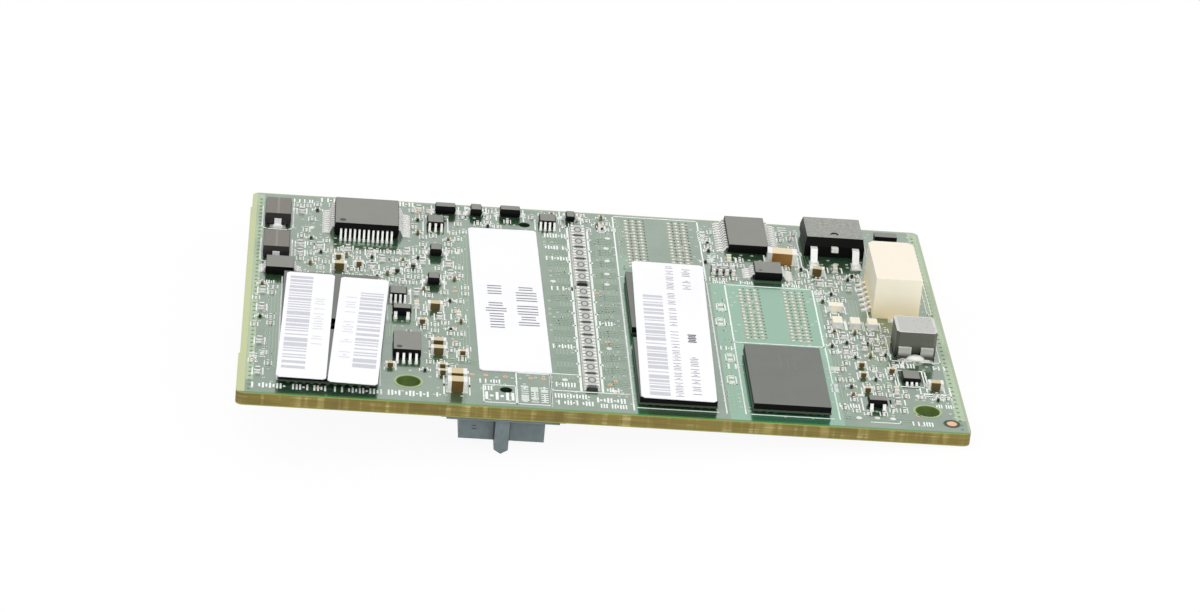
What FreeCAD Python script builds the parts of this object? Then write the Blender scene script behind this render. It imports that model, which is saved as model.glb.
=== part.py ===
import FreeCAD, Part
import os
import Sketcher

# Plug-on cache and flash card of a RAID controller: a bare board with memory, flash and power
# parts on top, and a mezzanine plug with two guide posts underneath. Millimetres, +Z up,
# +X along the board, origin under the middle of the board at the level of the guide post tips.

SIZES = {
    # board
    "board_length": 74.4, "board_width": 49.8, "board_thickness": 1.4,
    "board_corner": 0.8, "rail_step": 0.15, "rail_step_back": 4.0, "rail_step_front": 9.0,
    "standoff_hole": 2.5, "peg_hole": 1.3,
    # mezzanine plug
    "plug_length": 46.8, "plug_width": 8.7, "plug_height": 3.05, "plug_wall": 0.9,
    "plug_end_wall": 1.6, "plug_floor": 0.6, "tongue_width": 2.5, "flange_width": 11.6,
    "flange_thickness": 0.35, "post_width": 1.45, "post_reach": 4.1, "post_tip": 0.45,
    "post_proud": 1.0, "peg_height": 0.9,
    "flange_slope": 1.0, "peg_width": 1.1, "contact_pitch": 1.0, "contact_width": 0.4,
    "contact_thickness": 0.25, "contact_short": 0.35,
    # ball grid packages
    "ball_gap": 0.25, "substrate_thickness": 0.2, "memory_length": 14.0, "memory_width": 8.0,
    "memory_cap": 0.65, "memory_row_pitch": 16.35, "memory_column_pitch": 11.6,
    "flash_length": 11.2, "flash_width": 10.0, "flash_cap": 0.6, "flash_pitch": 13.7,
    "cap_inset": 0.05,
    # paper labels
    "label_thickness": 0.1, "label_corner": 0.3, "label_gap": 0.4, "serial_label_length": 25.1,
    "serial_label_width": 5.05, "memory_label_length": 33.1, "memory_label_width": 7.7,
    "plain_label_length": 35.5, "plain_label_width": 7.45,
    # gull-wing leads: the shoulder and the foot are shares of the lead's reach
    "lead_thickness": 0.15, "lead_shoulder": 0.25, "lead_foot": 0.45, "mould_draft": 8.0,
    # quad flat controller
    "quad_body": 7.0, "quad_height": 1.55, "quad_standoff": 0.1, "quad_span": 9.0,
    "quad_pitch": 0.5, "quad_lead_width": 0.22,
    # bus buffer, 24 leads on two sides
    "buffer_width": 4.4, "buffer_height": 1.0, "buffer_span": 6.4, "buffer_pitch": 0.65,
    "buffer_lead_width": 0.25, "body_end": 0.33, "small_standoff": 0.08,
    # regulator, 10 leads on two sides
    "regulator_width": 3.0, "regulator_height": 0.95, "regulator_span": 4.9,
    "regulator_pitch": 0.5, "regulator_end": 0.5,
    # monitor, 8 leads on two sides
    "monitor_width": 3.0, "monitor_height": 0.95, "monitor_span": 4.4, "monitor_pitch": 0.65,
    "monitor_end": 0.52, "part_gap": 0.3,
    # 8-lead switch and 6-lead logic parts
    "switch_width": 4.4, "switch_height": 1.0, "switch_span": 6.4, "switch_pitch": 0.65,
    "switch_end": 0.47, "logic_width": 2.1, "logic_height": 0.8,
    "logic_span": 3.1, "logic_pitch": 0.65, "logic_end": 0.3, "logic_lead_width": 0.25,
    # small transistors
    "transistor_length": 2.0, "transistor_width": 1.3, "transistor_height": 0.95,
    "transistor_span": 2.5, "transistor_pitch": 1.3, "transistor_lead_width": 0.35,
    "diode_length": 1.3, "diode_width": 1.7, "diode_height": 0.9, "diode_span": 2.5,
    "leadless_length": 2.5, "leadless_width": 1.15, "leadless_height": 0.45,
    # power transistor
    "power_width": 6.6, "power_depth": 6.0, "power_height": 2.2, "power_tab_width": 5.2,
    "power_tab_reach": 1.1, "power_tab_thickness": 0.5, "power_lead_width": 0.75,
    "power_lead_spread": 4.6, "power_lead_reach": 2.7, "power_lead_height": 1.15,
    "power_stub": 0.7, "power_standoff": 0.05, "power_dimple": 0.9, "dimple_depth": 0.15,
    "power_slope": 0.35, "power_side_slope": 0.2, "dimple_shift": 1.7,
    # cable header
    "header_length": 9.8, "header_depth": 4.95, "header_height": 4.65, "header_wall": 0.8,
    "header_back": 1.3, "header_chamfer": 0.6, "pin_pitch": 1.25, "pin_width": 0.4,
    "pin_reach": 2.6, "header_tail": 0.9, "hold_down_width": 1.4, "hold_down_height": 0.9,
    "hold_down_foot": 0.6, "hold_down_thickness": 0.25,
    # power inductor
    "inductor_side": 4.3, "inductor_depth": 4.1, "inductor_height": 2.95,
    "inductor_chamfer": 0.35, "terminal_width": 1.35, "terminal_spread": 2.35,
    "terminal_height": 1.3, "terminal_thickness": 0.15, "terminal_reach": 0.4,
    # moulded two-terminal parts
    "moulded_length": 4.4, "moulded_width": 2.85, "moulded_height": 1.45,
    "moulded_tab_width": 0.75, "moulded_tab_height": 0.65, "moulded_tab_thickness": 0.15,
    # resistor arrays
    "array_length": 2.75, "array_width": 1.45, "array_height": 0.5, "array_gap": 0.3,
    "array_terminal_pitch": 0.72, "array_terminal_length": 0.4, "array_terminal_width": 0.3,
    # two-terminal chips: length, width, height, end cap
    "chip_1206_length": 3.2, "chip_1206_width": 1.6, "chip_1206_height": 1.3, "chip_1206_cap": 0.5,
    "chip_0805_length": 2.0, "chip_0805_width": 1.25, "chip_0805_height": 1.25,
    "chip_0805_cap": 0.4, "chip_0603_length": 1.6, "chip_0603_width": 0.8,
    "chip_0603_height": 0.8, "chip_0603_cap": 0.3, "chip_0402_length": 1.0,
    "chip_0402_width": 0.5, "chip_0402_height": 0.5, "chip_0402_cap": 0.22,
    "resistor_length": 1.0, "resistor_width": 0.5, "resistor_height": 0.35, "resistor_cap": 0.25,
    "bead_length": 1.6, "bead_width": 1.05, "bead_height": 0.7, "bead_cap": 0.35,
}

# Places on the board are given from its front left corner on a board of this size, and
# spread with it when the board is made longer or wider.
LAYOUT_LENGTH = 74.1
LAYOUT_WIDTH = 49.8

STANDOFF_HOLES = [(17.0, 4.7), (70.1, 4.7)]
PEG_HOLES = [(26.9, 4.0), (29.9, 45.4)]
PLUG_CENTRE = (26.65, 24.9)
FLASH_FRONT = (8.85, 8.1)
MEMORY_FRONT = (44.3, 9.0)
SERIAL_LEFT = ((6.42, 14.35), -1.4)
SERIAL_RIGHT_Y = 13.8
SERIAL_RIGHT_TURN = -2.6
MEMORY_LABEL = ((44.65, 18.3), -1.2)
PLAIN_LABEL = ((27.7, 25.95), 1.0)
QUAD_CENTRE = (12.53, 43.0)
BUFFER_CENTRE = (54.4, 45.2)
REGULATOR_CENTRE = (56.1, 36.0)
SWITCH_CENTRE = (16.85, 12.2)
MONITOR_X = 3.4
LOGIC_PARTS = [((15.95, 24.95), 90), ((32.45, 46.1), 90), ((20.1, 43.95), 90), ((69.15, 12.0), 90)]
TRANSISTORS = [((16.35, 20.6), 0), ((64.95, 5.3), 0), ((21.2, 47.55), 0), ((28.35, 47.75), 0)]
DIODES = [((20.05, 36.3), 90), ((19.75, 28.9), 90), ((24.6, 47.6), 90), ((35.05, 47.8), 90)]
LEADLESS_CENTRE = (70.25, 47.7)
POWER_CENTRE = (63.9, 44.75)
HEADER_CENTRE = (69.1, 31.5)
INDUCTOR_CENTRE = (70.15, 19.2)
MOULDED_REAR = (2.9, 43.4)
ARRAY_COLUMN = 35.7
ARRAY_BACK = 37.8
ARRAY_FRONT = 17.15
ARRAY_ALONE = ((51.3, 36.2), 90)
CAPACITORS_1206 = [((57.95, 39.75), -3)]
CAPACITORS_0805 = [((21.9, 3.4), 0), ((21.9, 5.25), 0)]
CAPACITORS_0603 = [((61.6, 37.0), -6), ((19.85, 22.3), 0), ((20.1, 11.6), 0), ((20.1, 13.4), 0),
                   ((9.7, 31.0), 0), ((71.5, 10.2), 0)]
CAPACITORS_0402 = [
    ((22.6, 11.65), 0), ((15.15, 7.9), 0), ((18.5, 18.7), 0), ((20.5, 6.85), 0),
    ((20.5, 8.3), 0), ((9.6, 33.7), 0), ((11.8, 32.15), 0), ((64.25, 14.45), 0),
    ((64.2, 12.05), 0), ((64.3, 8.55), 0), ((17.9, 22.6), 90), ((22.3, 20.6), 90),
    ((67.3, 13.4), 0), ((67.3, 8.7), 90), ((52.1, 39.3), 90), ((63.7, 38.2), 90),
]
RESISTORS_0402 = [
    ((1.75, 5.0), 90), ((1.75, 12.1), 90), ((1.75, 20.2), 90), ((1.75, 24.3), 90),
    ((5.45, 45.4), 90), ((5.45, 36.6), 90), ((5.45, 34.4), 90), ((7.5, 36.4), 90),
    ((10.6, 36.2), 90), ((13.0, 35.6), 90), ((14.3, 34.0), 90), ((13.2, 31.9), 90),
    ((16.9, 36.2), 90), ((15.9, 31.2), 0), ((17.6, 32.6), 0), ((18.6, 34.0), 90),
    ((21.4, 33.7), 90), ((17.9, 26.0), 90), ((21.6, 31.2), 90), ((18.3, 47.9), 90),
    ((20.3, 20.3), 90), ((61.6, 34.4), 90), ((62.8, 34.4), 90), ((64.8, 33.6), 90),
    ((63.0, 21.4), 90), ((65.9, 21.0), 90), ((65.0, 18.9), 90), ((66.3, 18.7), 90),
    ((62.9, 17.8), 90), ((67.2, 6.4), 90),
]
BEADS = [((62.6, 24.2), 90), ((64.5, 24.2), 90), ((66.35, 24.2), 90), ((62.8, 28.0), 0)]
UNDER_CAPACITORS = [
    ((62.8, 1.6), 0), ((15.0, 10.0), 90), ((15.0, 20.0), 90), ((37.5, 22.0), 90),
    ((37.5, 34.0), 90), ((52.0, 22.0), 90), ((52.0, 34.0), 90), ((52.0, 44.0), 90),
]
ALONG_X = FreeCAD.Vector(1, 0, 0)
UP = FreeCAD.Vector(0, 0, 1)


class Measure:
    """A length worked out from the sheet: its value, and the expression that keeps it bound."""

    def __init__(self, value, text):
        self.value = value
        self.text = text

    def joined(self, other, sign, value):
        text = other.text if isinstance(other, Measure) else repr(other)
        return Measure(value, f"({self.text} {sign} {text})")

    def __add__(self, other):
        return self.joined(other, "+", self.value + plain(other))

    def __sub__(self, other):
        return self.joined(other, "-", self.value - plain(other))

    def __mul__(self, other):
        return self.joined(other, "*", self.value * plain(other))

    def __truediv__(self, other):
        return self.joined(other, "/", self.value / plain(other))

    def __neg__(self):
        return self * -1.0


kept = []


def keep(thing):
    """Count a document object as one sub-part of the card."""
    kept.append(thing)
    return thing


def plain(number):
    """The bare number of a Measure or of a number."""
    return number.value if isinstance(number, Measure) else float(number)


doc = FreeCAD.newDocument("cache_card")
sheet = doc.addObject("Spreadsheet::Sheet", "Sizes")
for row, (alias, number) in enumerate(SIZES.items(), start=1):
    sheet.set(f"A{row}", alias)
    sheet.set(f"B{row}", str(number))
    sheet.setAlias(f"B{row}", alias)
doc.recompute()


def size(alias):
    """A sheet cell as a Measure."""
    return Measure(float(sheet.get(alias)), f"Sizes.{alias}")


BOARD_UNDER = size("post_reach")
BOARD_TOP = BOARD_UNDER + size("board_thickness")
DATUM_X = size("rail_step") * 2.0 - size("board_length") / 2.0
DATUM_Y = -size("board_width") / 2.0


def along(x):
    """A place along the board, spread with its length."""
    return DATUM_X + (size("board_length") - size("rail_step") * 2.0) * (x / LAYOUT_LENGTH)


def across(y):
    """A place across the board, spread with its width."""
    return DATUM_Y + size("board_width") * (y / LAYOUT_WIDTH)


def bind(thing, name, measure):
    """Set a property and bind it to the sheet."""
    if isinstance(measure, Measure):
        thing.setExpression(name, measure.text)
    else:
        setattr(thing, name, measure)


def put(thing, x, y, z, turn=0.0):
    """Place a piece, turned about the vertical by so many degrees."""
    thing.Placement = FreeCAD.Placement(FreeCAD.Vector(), FreeCAD.Rotation(UP, turn))
    for axis, measure in (("x", x), ("y", y), ("z", z)):
        if isinstance(measure, Measure):
            thing.setExpression(f"Placement.Base.{axis}", measure.text)


def from_front(distance):
    """A distance in millimetres as a step across the layout."""
    return plain(distance) * LAYOUT_WIDTH / plain(size("board_width"))


# ---- sketches and features ----

def new_body(name):
    body = doc.addObject("PartDesign::Body", name)
    body.Label = name
    body.AllowCompound = True
    return body


def origin_part(body, role):
    return next(part for part in body.Origin.OriginFeatures if part.Role == role)


def new_sketch(body, name, role="XY_Plane", height=None):
    """A sketch on one of the body's own planes, lifted off it by a height."""
    sketch = body.newObject("Sketcher::SketchObject", name)
    sketch.AttachmentSupport = [(origin_part(body, role), "")]
    sketch.MapMode = "FlatFace"
    if height is not None:
        sketch.setExpression("AttachmentOffset.Base.z", height.text)
    return sketch


def hold(sketch, kind, line, point, measure, axis):
    """Fix one coordinate of a point, bound to the sheet."""
    value = plain(measure)
    if not isinstance(measure, Measure) and abs(value) < 1e-9:
        sketch.addConstraint(Sketcher.Constraint("PointOnObject", line, point, axis))
        return
    index = sketch.addConstraint(Sketcher.Constraint(kind, -1, 1, line, point, value))
    if isinstance(measure, Measure):
        sketch.setExpression(f"Constraints[{index}]", measure.text)


def outline(sketch, points):
    """A closed straight-sided outline whose corners are bound to the sheet."""
    first = sketch.GeometryCount
    corners = [FreeCAD.Vector(plain(x), plain(y), 0) for x, y in points]
    count = len(points)
    for index in range(count):
        sketch.addGeometry(Part.LineSegment(corners[index], corners[(index + 1) % count]))
    for index in range(count):
        following = first + (index + 1) % count
        sketch.addConstraint(Sketcher.Constraint("Coincident", first + index, 2, following, 1))
    for index, (x, y) in enumerate(points):
        hold(sketch, "DistanceX", first + index, 1, x, -2)
        hold(sketch, "DistanceY", first + index, 1, y, -1)


def rectangle(sketch, x_low, x_high, y_low, y_high):
    outline(sketch, [(x_low, y_low), (x_high, y_low), (x_high, y_high), (x_low, y_high)])


def centred(sketch, width, length):
    rectangle(sketch, -width / 2.0, width / 2.0, -length / 2.0, length / 2.0)


def circle(sketch, x, y, diameter):
    centre = FreeCAD.Vector(plain(x), plain(y), 0)
    index = sketch.addGeometry(Part.Circle(centre, UP, plain(diameter) / 2.0))
    hold(sketch, "DistanceX", index, 3, x, -2)
    hold(sketch, "DistanceY", index, 3, y, -1)
    width = sketch.addConstraint(Sketcher.Constraint("Diameter", index, plain(diameter)))
    sketch.setExpression(f"Constraints[{width}]", diameter.text)


def pad(body, sketch, name, length, down=False, middle=False, draft=None):
    feature = body.newObject("PartDesign::Pad", name)
    feature.Profile = sketch
    feature.setExpression("Length", length.text)
    feature.Reversed = down
    if middle:
        feature.Midplane = True
    if draft is not None:
        feature.setExpression("TaperAngle", (-draft).text)
    return feature


def pocket(body, sketch, name, depth, up=False):
    """Cut a sketch out of the body, downwards unless told otherwise."""
    feature = body.newObject("PartDesign::Pocket", name)
    feature.Profile = sketch
    feature.setExpression("Length", depth.text)
    feature.Reversed = up
    return feature


def repeat(body, feature, name, role, length, count, turns=None):
    """Repeat a feature along one of the body's own axes, then turn the row about the vertical."""
    doc.recompute()
    steps = body.newObject("PartDesign::LinearPattern", f"{name}_steps")
    steps.Direction = (origin_part(body, role), [""])
    steps.setExpression("Length", length.text)
    steps.Occurrences = int(count)
    if turns is None:
        steps.Originals = [feature]
        body.Tip = steps
        return
    sides = body.newObject("PartDesign::PolarPattern", f"{name}_turns")
    sides.Axis = (origin_part(body, "Z_Axis"), [""])
    sides.Angle = 360
    sides.Occurrences = int(turns)
    rows = body.newObject("PartDesign::MultiTransform", name)
    rows.Originals = [feature]
    rows.Transformations = [steps, sides]
    body.Tip = rows


# ---- packages ----

def label(name, centre, turn, width, length, height, beside=None):
    """A paper label with its corners cut."""
    body = new_body(name)
    sketch = new_sketch(body, f"{name}_outline")
    side = size(width) / 2.0
    end = size(length) / 2.0
    cut = size("label_corner")
    outline(sketch, [
        (cut - side, -end), (side - cut, -end), (side, cut - end), (side, end - cut),
        (side - cut, end), (cut - side, end), (-side, end - cut), (-side, cut - end)])
    pad(body, sketch, f"{name}_paper", size("label_thickness"))
    x = along(centre[0])
    if beside is not None:
        x = x + beside
    put(body, x, across(centre[1]), height, turn)
    return keep(body)


def ball_grid_chip(name, centre, kind, cap, y_shift=None, x_shift=None, under=False):
    """A ball grid package: a thin substrate with a moulded cap set in by a saw cut's width."""
    body = new_body(name)
    width = size(f"{kind}_width")
    length = size(f"{kind}_length")
    base = new_sketch(body, f"{name}_substrate_outline")
    centred(base, width, length)
    pad(body, base, f"{name}_substrate", size("substrate_thickness"))
    top = new_sketch(body, f"{name}_cap_outline", height=size("substrate_thickness"))
    centred(top, width - size("cap_inset") * 2.0, length - size("cap_inset") * 2.0)
    pad(body, top, f"{name}_cap", size(cap))
    x = along(centre[0])
    y = across(centre[1])
    if x_shift is not None:
        x = x + x_shift
    if y_shift is not None:
        y = y + y_shift
    if under:
        put(body, x, y, BOARD_UNDER - size("ball_gap"))
        flip = FreeCAD.Rotation(ALONG_X, 180)
        body.Placement = FreeCAD.Placement(FreeCAD.Vector(), flip)
    else:
        put(body, x, y, BOARD_TOP + size("ball_gap"))
    return keep(body)


def moulded_body(name, width, length, height, standoff):
    """A moulded package: a straight band where the leads leave, and drafted sides above and below."""
    body = new_body(name)
    band_low = standoff + (height - standoff) / 2.0 - size("lead_thickness") / 2.0
    band_high = band_low + size("lead_thickness")
    draft = size("mould_draft")
    for level, lift, deep, down, slope in (
            ("band", band_low, size("lead_thickness"), False, None),
            ("upper", band_high, height - band_high, False, draft),
            ("lower", band_low, band_low - standoff, True, draft)):
        sketch = new_sketch(body, f"{name}_{level}_outline", height=lift)
        centred(sketch, width, length)
        pad(body, sketch, f"{name}_{level}", deep, down=down, draft=slope)
    return body


def gull_profile(sketch, body_side, tip, height, standoff, side=1.0):
    """The bent section of a gull-wing lead that leaves the body at mid height."""
    thick = size("lead_thickness")
    shoulder = standoff + (height - standoff) / 2.0
    knee = body_side + (tip - body_side) * size("lead_shoulder")
    heel = tip - (tip - body_side) * size("lead_foot")
    corners = [
        (body_side, shoulder - thick / 2.0), (knee - thick * 0.6, shoulder - thick / 2.0),
        (heel - thick * 0.6, 0.0), (tip, 0.0), (tip, thick), (heel, thick),
        (knee, shoulder + thick / 2.0), (body_side, shoulder + thick / 2.0)]
    outline(sketch, [(reach * side, rise) for reach, rise in corners])


def lead_rows(name, width, span, height, standoff, pitch, count, lead_width, sides=2):
    """A row of gull-wing leads along each of two or four sides."""
    body = new_body(name)
    first = pitch * (count - 1) / 2.0
    sketch = new_sketch(body, f"{name}_bend", role="XZ_Plane", height=first)
    gull_profile(sketch, width / 2.0, span / 2.0, height, standoff)
    lead = pad(body, sketch, f"{name}_lead", lead_width, middle=True)
    repeat(body, lead, f"{name}_rows", "Y_Axis", pitch * (count - 1), count, turns=sides)
    return body


def on_board(thing, centre, turn=0.0):
    """Seat a piece on the board's top face."""
    put(thing, along(centre[0]), across(centre[1]), BOARD_TOP, turn)
    return keep(thing)


def box(name, x_low, x_high, y_low, y_high, z_low, z_high):
    """A block between two corners, each bound to the sheet."""
    block = doc.addObject("Part::Box", name)
    for side, low, high in (("Length", x_low, x_high), ("Width", y_low, y_high),
                            ("Height", z_low, z_high)):
        bind(block, side, high - low)
    put(block, x_low, y_low, z_low)
    return block


def scatter(name, pieces, spots, under=False):
    """Copies of the pieces at each spot, as one group of separate solids on the board."""
    doc.recompute()
    copies = []
    flip = -1.0 if under else 1.0
    for (x, y), turn in spots:
        spot = FreeCAD.Vector(plain(along(x)), plain(across(y)) * flip, 0)
        for piece in pieces:
            for solid in piece.Shape.Solids:
                copies.append(solid.rotated(FreeCAD.Vector(), UP, turn).translated(spot))
    group = doc.addObject("Part::Feature", name)
    group.Shape = Part.makeCompound(copies)
    group.Label = name
    height = BOARD_UNDER if under else BOARD_TOP
    spin = FreeCAD.Rotation(ALONG_X, 180 if under else 0)
    group.Placement = FreeCAD.Placement(FreeCAD.Vector(0, 0, plain(height)), spin)
    return keep(group)


def two_ended_chip(kind):
    """A chip capacitor or resistor: a ceramic block between two wrapped metal ends."""
    length = size(f"{kind}_length") / 2.0
    width = size(f"{kind}_width") / 2.0
    height = size(f"{kind}_height")
    inner = length - size(f"{kind}_cap")
    middle = box(f"{kind}_middle", -inner, inner, -width, width, height * 0.0, height)
    ends = [box(f"{kind}_left_end", -length, -inner, -width, width, height * 0.0, height),
            box(f"{kind}_right_end", inner, length, -width, width, height * 0.0, height)]
    return middle, ends


# ---- the board ----
# One laminate plate, routed from its panel: the left edge keeps two small steps of the rail.

board = keep(new_body("circuit_board"))
left = -size("board_length") / 2.0
right = size("board_length") / 2.0
front = -size("board_width") / 2.0
back = size("board_width") / 2.0
step = size("rail_step")
board_outline = new_sketch(board, "board_outline")
outline(board_outline, [
    (left, front), (right, front), (right, back), (left + step * 2.0, back),
    (left + step * 2.0, back - size("rail_step_back")),
    (left + step, back - size("rail_step_back")),
    (left + step, front + size("rail_step_front")), (left, front + size("rail_step_front"))])
plate = pad(board, board_outline, "board_plate", size("board_thickness"))
hole_sketch = new_sketch(board, "board_hole_outline", height=size("board_thickness"))
for hole_x, hole_y in STANDOFF_HOLES:
    circle(hole_sketch, along(hole_x), across(hole_y), size("standoff_hole"))
for hole_x, hole_y in PEG_HOLES:
    circle(hole_sketch, along(hole_x), across(hole_y), size("peg_hole"))
drilled = pocket(board, hole_sketch, "board_holes", size("board_thickness"))
doc.recompute()
outer = [(plain(left), plain(front)), (plain(right), plain(front)), (plain(right), plain(back)),
         (plain(left + step * 2.0), plain(back))]
corner_edges = []
for number, edge in enumerate(drilled.Shape.Edges, start=1):
    middle_point = edge.CenterOfMass
    if any(abs(middle_point.x - x) < 1e-4 and abs(middle_point.y - y) < 1e-4 for x, y in outer):
        corner_edges.append(f"Edge{number}")
rounding = board.newObject("PartDesign::Fillet", "board_corners")
rounding.Base = (drilled, corner_edges)
rounding.setExpression("Radius", size("board_corner").text)
put(board, 0.0, 0.0, BOARD_UNDER)

# ---- mezzanine plug ----
# A long grey moulding under the board: a rim and a central tongue with a slot each side, a thin
# flange against the board, two locating pegs up into it, and a pointed guide post at each end.

plug = keep(new_body("plug_housing"))
half_plug = size("plug_length") / 2.0
block = new_sketch(plug, "plug_block_outline")
centred(block, size("plug_width"), size("plug_length"))
pad(plug, block, "plug_block", size("plug_height"), down=True)
flange = new_sketch(plug, "plug_flange_section", role="XZ_Plane")
flange_half = size("flange_width") / 2.0
outline(flange, [
    (-flange_half, 0.0), (flange_half, 0.0),
    (flange_half - size("flange_slope"), -size("flange_thickness")),
    (size("flange_slope") - flange_half, -size("flange_thickness"))])
pad(plug, flange, "plug_flange", size("plug_length"), middle=True)
slots = new_sketch(plug, "plug_slot_outline", height=-size("plug_height"))
slot_inner = size("tongue_width") / 2.0
slot_outer = size("plug_width") / 2.0 - size("plug_wall")
slot_end = half_plug - size("plug_end_wall")
rectangle(slots, slot_inner, slot_outer, -slot_end, slot_end)
rectangle(slots, -slot_outer, -slot_inner, -slot_end, slot_end)
pocket(plug, slots, "plug_slots", size("plug_height") - size("plug_floor"), up=True)
post = new_sketch(plug, "guide_post_front", role="XZ_Plane",
                  height=half_plug + size("post_proud"))
post_half = size("post_width") / 2.0
outline(post, [
    (-post_half, 0.0), (-post_half, size("post_tip") - size("post_reach")),
    (0.0, -size("post_reach")), (post_half, size("post_tip") - size("post_reach")),
    (post_half, 0.0)])
guide = pad(plug, post, "guide_post", size("post_proud") + size("plug_end_wall"), down=True)
posts = plug.newObject("PartDesign::Mirrored", "guide_posts")
posts.Originals = [guide]
posts.MirrorPlane = (origin_part(plug, "XZ_Plane"), [""])
plug.Tip = posts
pegs = new_sketch(plug, "peg_outline")
for peg_x, peg_y in PEG_HOLES:
    circle(pegs, along(peg_x) - along(PLUG_CENTRE[0]), across(peg_y) - across(PLUG_CENTRE[1]),
           size("peg_width"))
pad(plug, pegs, "locating_pegs", size("peg_height"))
put(plug, along(PLUG_CENTRE[0]), across(PLUG_CENTRE[1]), BOARD_UNDER)

CONTACTS_A_ROW = 40
contacts = keep(new_body("plug_contacts"))
contact_row_start = size("contact_pitch") * (CONTACTS_A_ROW - 1) / 2.0
blade = new_sketch(contacts, "contact_section", role="XZ_Plane", height=contact_row_start)
rectangle(blade, slot_inner, slot_inner + size("contact_thickness"),
          size("contact_short") - size("plug_height"), -size("plug_floor"))
one_contact = pad(contacts, blade, "contact", size("contact_width"), middle=True)
repeat(contacts, one_contact, "contact_rows", "Y_Axis",
       size("contact_pitch") * (CONTACTS_A_ROW - 1), CONTACTS_A_ROW, turns=2)
put(contacts, along(PLUG_CENTRE[0]), across(PLUG_CENTRE[1]), BOARD_UNDER)

# ---- memory and flash ----
# Three memory chips on top with two empty places left beside them, two more below the board,
# and two flash chips one behind the other.

row_step = size("memory_row_pitch")
column_step = size("memory_column_pitch")
ball_grid_chip("memory_chip_front", MEMORY_FRONT, "memory", "memory_cap")
ball_grid_chip("memory_chip_middle", MEMORY_FRONT, "memory", "memory_cap", y_shift=row_step)
ball_grid_chip("memory_chip_side", MEMORY_FRONT, "memory", "memory_cap", x_shift=column_step)
ball_grid_chip("memory_chip_under_middle", MEMORY_FRONT, "memory", "memory_cap",
               y_shift=row_step, under=True)
ball_grid_chip("memory_chip_under_back", MEMORY_FRONT, "memory", "memory_cap",
               y_shift=row_step * 2.0, under=True)
ball_grid_chip("flash_chip_front", FLASH_FRONT, "flash", "flash_cap")
ball_grid_chip("flash_chip_rear", FLASH_FRONT, "flash", "flash_cap",
               y_shift=size("flash_pitch"))

# ---- labels ----
# Plain white paper stickers: two across the flash chips, one across the memory chips and one on
# the bare board between the plug's screws.

chip_lift = BOARD_TOP + size("ball_gap") + size("substrate_thickness")
label("serial_label_left", *SERIAL_LEFT, "serial_label_width", "serial_label_length",
      chip_lift + size("flash_cap"))
label("serial_label_right", (SERIAL_LEFT[0][0], SERIAL_RIGHT_Y), SERIAL_RIGHT_TURN,
      "serial_label_width", "serial_label_length", chip_lift + size("flash_cap"),
      beside=size("serial_label_width") + size("label_gap"))
label("memory_label", *MEMORY_LABEL, "memory_label_width", "memory_label_length",
      chip_lift + size("memory_cap"))
label("plain_label", *PLAIN_LABEL, "plain_label_width", "plain_label_length", BOARD_TOP)

# ---- leaded packages ----

low = size("small_standoff")


def leaded_chip(name, kind, count, end, lead_width):
    """A moulded chip and its leads on two sides; its length follows the lead row."""
    width = size(f"{kind}_width")
    height = size(f"{kind}_height")
    pitch = size(f"{kind}_pitch")
    length = pitch * (count - 1) + size(end) * 2.0
    body = moulded_body(f"{name}_body", width, length, height, low)
    leads = lead_rows(f"{name}_leads", width, size(f"{kind}_span"), height, low, pitch, count,
                      size(lead_width))
    return body, leads


QUAD_SIDE_LEADS = 12
quad_body = moulded_body("controller_body", size("quad_body"), size("quad_body"),
                         size("quad_height"), size("quad_standoff"))
quad_leads = lead_rows("controller_leads", size("quad_body"), size("quad_span"),
                       size("quad_height"), size("quad_standoff"), size("quad_pitch"),
                       QUAD_SIDE_LEADS, size("quad_lead_width"), sides=4)
on_board(quad_body, QUAD_CENTRE)
on_board(quad_leads, QUAD_CENTRE)

buffer_body, buffer_leads = leaded_chip("buffer", "buffer", 12, "body_end", "buffer_lead_width")
on_board(buffer_body, BUFFER_CENTRE)
on_board(buffer_leads, BUFFER_CENTRE)

regulator_body, regulator_leads = leaded_chip("regulator", "regulator", 5, "regulator_end",
                                              "buffer_lead_width")
on_board(regulator_body, REGULATOR_CENTRE)
on_board(regulator_leads, REGULATOR_CENTRE)

switch_body, switch_leads = leaded_chip("switch", "switch", 4, "switch_end", "buffer_lead_width")
on_board(switch_body, SWITCH_CENTRE, 90.0)
on_board(switch_leads, SWITCH_CENTRE, 90.0)

monitor_body, monitor_leads = leaded_chip("monitor", "monitor", 4, "monitor_end",
                                          "buffer_lead_width")
behind_flash = size("flash_pitch") + size("flash_length") / 2.0 + size("part_gap")
monitor_centre = (MONITOR_X, FLASH_FRONT[1] + from_front(behind_flash
                                                         + size("monitor_span") / 2.0))
on_board(monitor_body, monitor_centre, 90.0)
on_board(monitor_leads, monitor_centre, 90.0)

logic_body, logic_leads = leaded_chip("logic", "logic", 3, "logic_end", "logic_lead_width")
scatter("logic_bodies", [logic_body], LOGIC_PARTS)
scatter("logic_lead_rows", [logic_leads], LOGIC_PARTS)

# Small transistors: two leads in front and one behind.

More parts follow.
